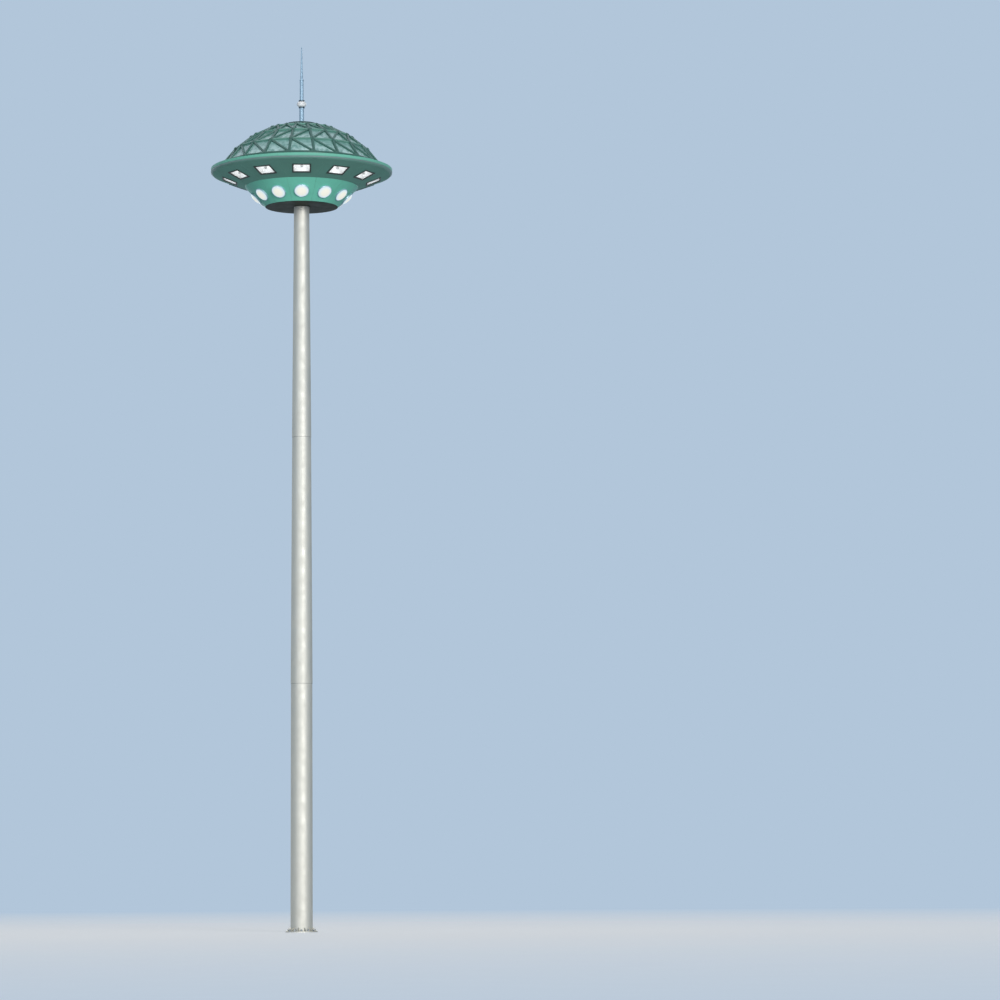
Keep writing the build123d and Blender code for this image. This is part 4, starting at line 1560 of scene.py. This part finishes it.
@dataclass
class Dome:
    """The glazed dome: lattice, hubs, panes, curb and cap."""

    rings: tuple[EasedCopy, ...] = (EasedCopy("dome_curb", "dome_curb_ring", Slot.LATTICE, 0.003),
                                    EasedCopy("dome_cap", "dome_top_cap", Slot.LATTICE, 0.003))
    ribs: int = 20
    tiers: int = 4
    foot_radius: float = 3.175
    rise: float = 1.71
    cap_angle: float = math.radians(8.0)
    depth: float = 0.06
    corner: float = 0.008
    rib_width: float = 0.092
    ring_width: float = 0.072
    brace_width: float = 0.078
    # Share of painted highlight on the rings above the foot.
    ring_shade: float = 0.7
    hub: Bolt = Bolt(0.022, 0.016, 0.075, 0.012, 6)
    curb_height: float = 0.1
    curb_bolt: Bolt = Bolt(0.013, 0.01, 0.02, 0.003, 6)
    curb_bolts: tuple[float, ...] = (-0.36, -0.12, 0.12, 0.36)
    sealant_radius: float = 0.008
    cap_rim: Point = (0.6, 0.012)
    cap_crown: Point = (0.192, 0.052)
    cap_screw: Bolt = Bolt(0.01, 0.007, 0.016, 0.002, 6)
    cap_screw_radius: float = 0.56
    tint_steps: Point = (12.9898, 78.233)

    def __post_init__(self) -> None:
        """Works out the sphere that the lattice follows."""
        self.radius = (self.foot_radius ** 2 + self.rise ** 2) / (2.0 * self.rise)
        self.foot_angle = math.asin(self.foot_radius / self.radius)
        foot_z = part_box("dome_lattice")[0].z + self.depth * math.cos(self.foot_angle)
        self.centre_z = foot_z + self.rise - self.radius
        self.half_bay = math.pi / self.ribs

    def angle(self, tier: int) -> float:
        """Angle from the dome's axis to the ring at a tier's foot."""
        return self.foot_angle + (self.cap_angle - self.foot_angle) * tier / self.tiers

    def guide(self) -> bpy.types.Object:
        """Draws the lattice's lines. The braces lean the other way in every second tier.

        Returns:
            A guide of edges on the dome's outer side, each with the width of its bar and its share of painted
            highlight.
        """
        points, edges, widths, light_and_shade_marks = [], [], [], []
        for tier in range(self.tiers + 1):
            reach = self.radius * math.sin(self.angle(tier))
            height = self.centre_z + self.radius * math.cos(self.angle(tier))
            for rib in range(self.ribs):
                points.append(around(reach, FRONT + CIRCLE * (rib + 0.5) / self.ribs, height))
                here = tier * self.ribs + rib
                beside = tier * self.ribs + (rib + 1) % self.ribs
                edges.append((here, beside))
                widths.append(self.ring_width)
                # The rings above the foot get a painted highlight. The foot ring and the other bars keep the
                # plain tone.
                light_and_shade_marks.append(self.ring_shade if tier else 0.0)
                if tier < self.tiers:
                    brace = (here, beside + self.ribs) if tier % 2 else (beside, here + self.ribs)
                    edges += [(here, here + self.ribs), brace]
                    widths += [self.rib_width, self.brace_width]
                    light_and_shade_marks += [0.0, 0.0]
        mesh = bpy.data.meshes.new("dome_lattice_bars")
        mesh.from_pydata(points, edges, [])
        mark(mesh, Field.WIDTH, widths, "EDGE")
        mark(mesh, Field.SHADE, light_and_shade_marks, "EDGE")
        return show(mesh, "dome_lattice_bars")

    def lattice(self) -> None:
        """Lays the bars, and a bolted hub over each crossing between the foot and the cap."""
        bars = BARS.grow(self.guide(), Slot.LATTICE, depth=self.depth, corner=self.corner,
                         centre_height=self.centre_z)
        soften(bars.data, SHARP_ANGLE)
        fit(bars, Slot.LATTICE, "dome_lattice")
        centre = Vector((0.0, 0.0, self.centre_z))
        angles = [self.angle(tier) for tier in range(1, self.tiers)]
        outs = [Vector((math.sin(angle), 0.0, math.cos(angle))) for angle in angles]
        self.hub.place("dome_hubs", [(centre + out * self.radius, out) for out in outs], Slot.LATTICE,
                       self.ribs, FRONT + self.half_bay)

    def panes(self) -> None:
        """Gives each pane its own tint, and its height within itself."""
        for tier in range(1, self.tiers + 1):
            glazing = EasedCopy(f"dome_glazing_tier_{tier}", f"dome_panes_{tier}", Slot.PANES)
            piece = glazing.shape()
            places = [vertex.co for vertex in piece.data.vertices]
            low = min(place.z for place in places)
            span = max(place.z for place in places) - low
            bays = [math.floor((math.atan2(place.y, place.x) - FRONT) / CIRCLE * self.ribs + 0.5)
                    for place in places]
            mark(piece.data, Field.PANE, [(place.z - low) / span for place in places])
            mark(piece.data, Field.TINT, [self.tint(bay, tier) for bay in bays])
            fit(piece, glazing.slot, glazing.node)

    def tint(self, bay: int, tier: int) -> float:
        """A pane's share of the lighter tint, which looks random and is the same in every run."""
        return 0.5 + 0.5 * math.sin(self.tint_steps[0] * bay + self.tint_steps[1] * tier)

    def curb(self) -> None:
        """The curb's bolts, and the sealant where it meets the deck."""
        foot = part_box("dome_curb")[0].z
        face = self.foot_radius * math.cos(self.half_bay)
        points = [(Vector((face, side, foot + self.curb_height / 2)), Vector((1.0, 0.0, 0.0)))
                  for side in self.curb_bolts]
        self.curb_bolt.place("curb_bolts", points, Slot.STEEL, self.ribs)
        guide = ring("curb_sealant", self.foot_radius, foot, self.ribs, FRONT + self.half_bay)
        bead(guide, Slot.LATTICE, self.sealant_radius)

    def cap_screws(self) -> None:
        """The ring of screws that holds the cap to the lattice's top ring."""
        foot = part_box("dome_cap")[0].z
        start, end = [(radius, foot + lift) for radius, lift in (self.cap_rim, self.cap_crown)]
        place = station(start, end, self.cap_screw_radius)
        self.cap_screw.place("cap_screws", studs(place, [Vector()]), Slot.LATTICE, self.ribs)

    def build(self) -> None:
        """Makes the dome."""
        self.lattice()
        self.panes()
        self.curb()
        self.cap_screws()
        for copy in self.rings:
            copy.dress()


@dataclass
class Spire:
    """The spire on the dome's cap."""

    pieces: tuple[EasedCopy, ...] = (
        EasedCopy("spire_stub", "spire_foot_tube", Slot.SPIRE, 0.002),
        EasedCopy("spire_collars", "spire_collar_rings", Slot.COLLAR, 0.003),
        EasedCopy("spire_ball", "spire_white_ball", Slot.BALL),
        EasedCopy("spire_rod", "spire_middle_tube", Slot.SPIRE, 0.002),
        EasedCopy("spire_tip", "spire_point", Slot.SPIRE, 0.001))
    flange_bolt: Bolt = Bolt(0.012, 0.01, 0.018, 0.003, 6)
    flange_bolts: int = 8
    flange_circle: float = 0.142
    flange_thickness: float = 0.02
    seam_reach: float = 0.1885
    seam_radius: float = 0.003

    def build(self) -> None:
        """Dresses the spire."""
        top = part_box("spire_stub")[0].z + self.flange_thickness
        bolt = Vector((self.flange_circle, 0.0, top))
        self.flange_bolt.place("spire_flange_bolts", [(bolt, UP)], Slot.STEEL, self.flange_bolts)
        low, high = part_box("spire_ball")
        bead(ring("ball_seam", self.seam_reach, (low.z + high.z) / 2), Slot.COLLAR, self.seam_radius)
        for piece in self.pieces:
            piece.dress()


@dataclass
class InnerFrame:
    """The steel inside the head, which shows through the glazing."""

    nodes: tuple[str, ...] = ("head_collar", "head_frame_arms", "mast_cap", "centre_post")

    def build(self) -> None:
        """Leaves the frame's nodes as they are, galvanised."""
        for node in self.nodes:
            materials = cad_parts[node].data.materials
            materials.clear()
            materials.append(FINISHES[Slot.STEEL])
            log.info("%s kept, %s", node, Slot.STEEL.value)


def main() -> None:
    """Sets up the studio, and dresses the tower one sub-assembly after the other."""
    logging.basicConfig(level=logging.INFO, format="%(name)s: %(message)s")
    bpy.context.scene.view_settings.view_transform = "Standard"
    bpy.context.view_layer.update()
    shaft = Shaft()
    saucer = Saucer()
    for part in (Studio(), Foot(), shaft, ServiceDoor(shaft), InnerFrame(), saucer, RoundLights(saucer),
                 WindowLights(saucer), Dome(), Spire()):
        part.build()


if __name__ == "__main__":
    main()
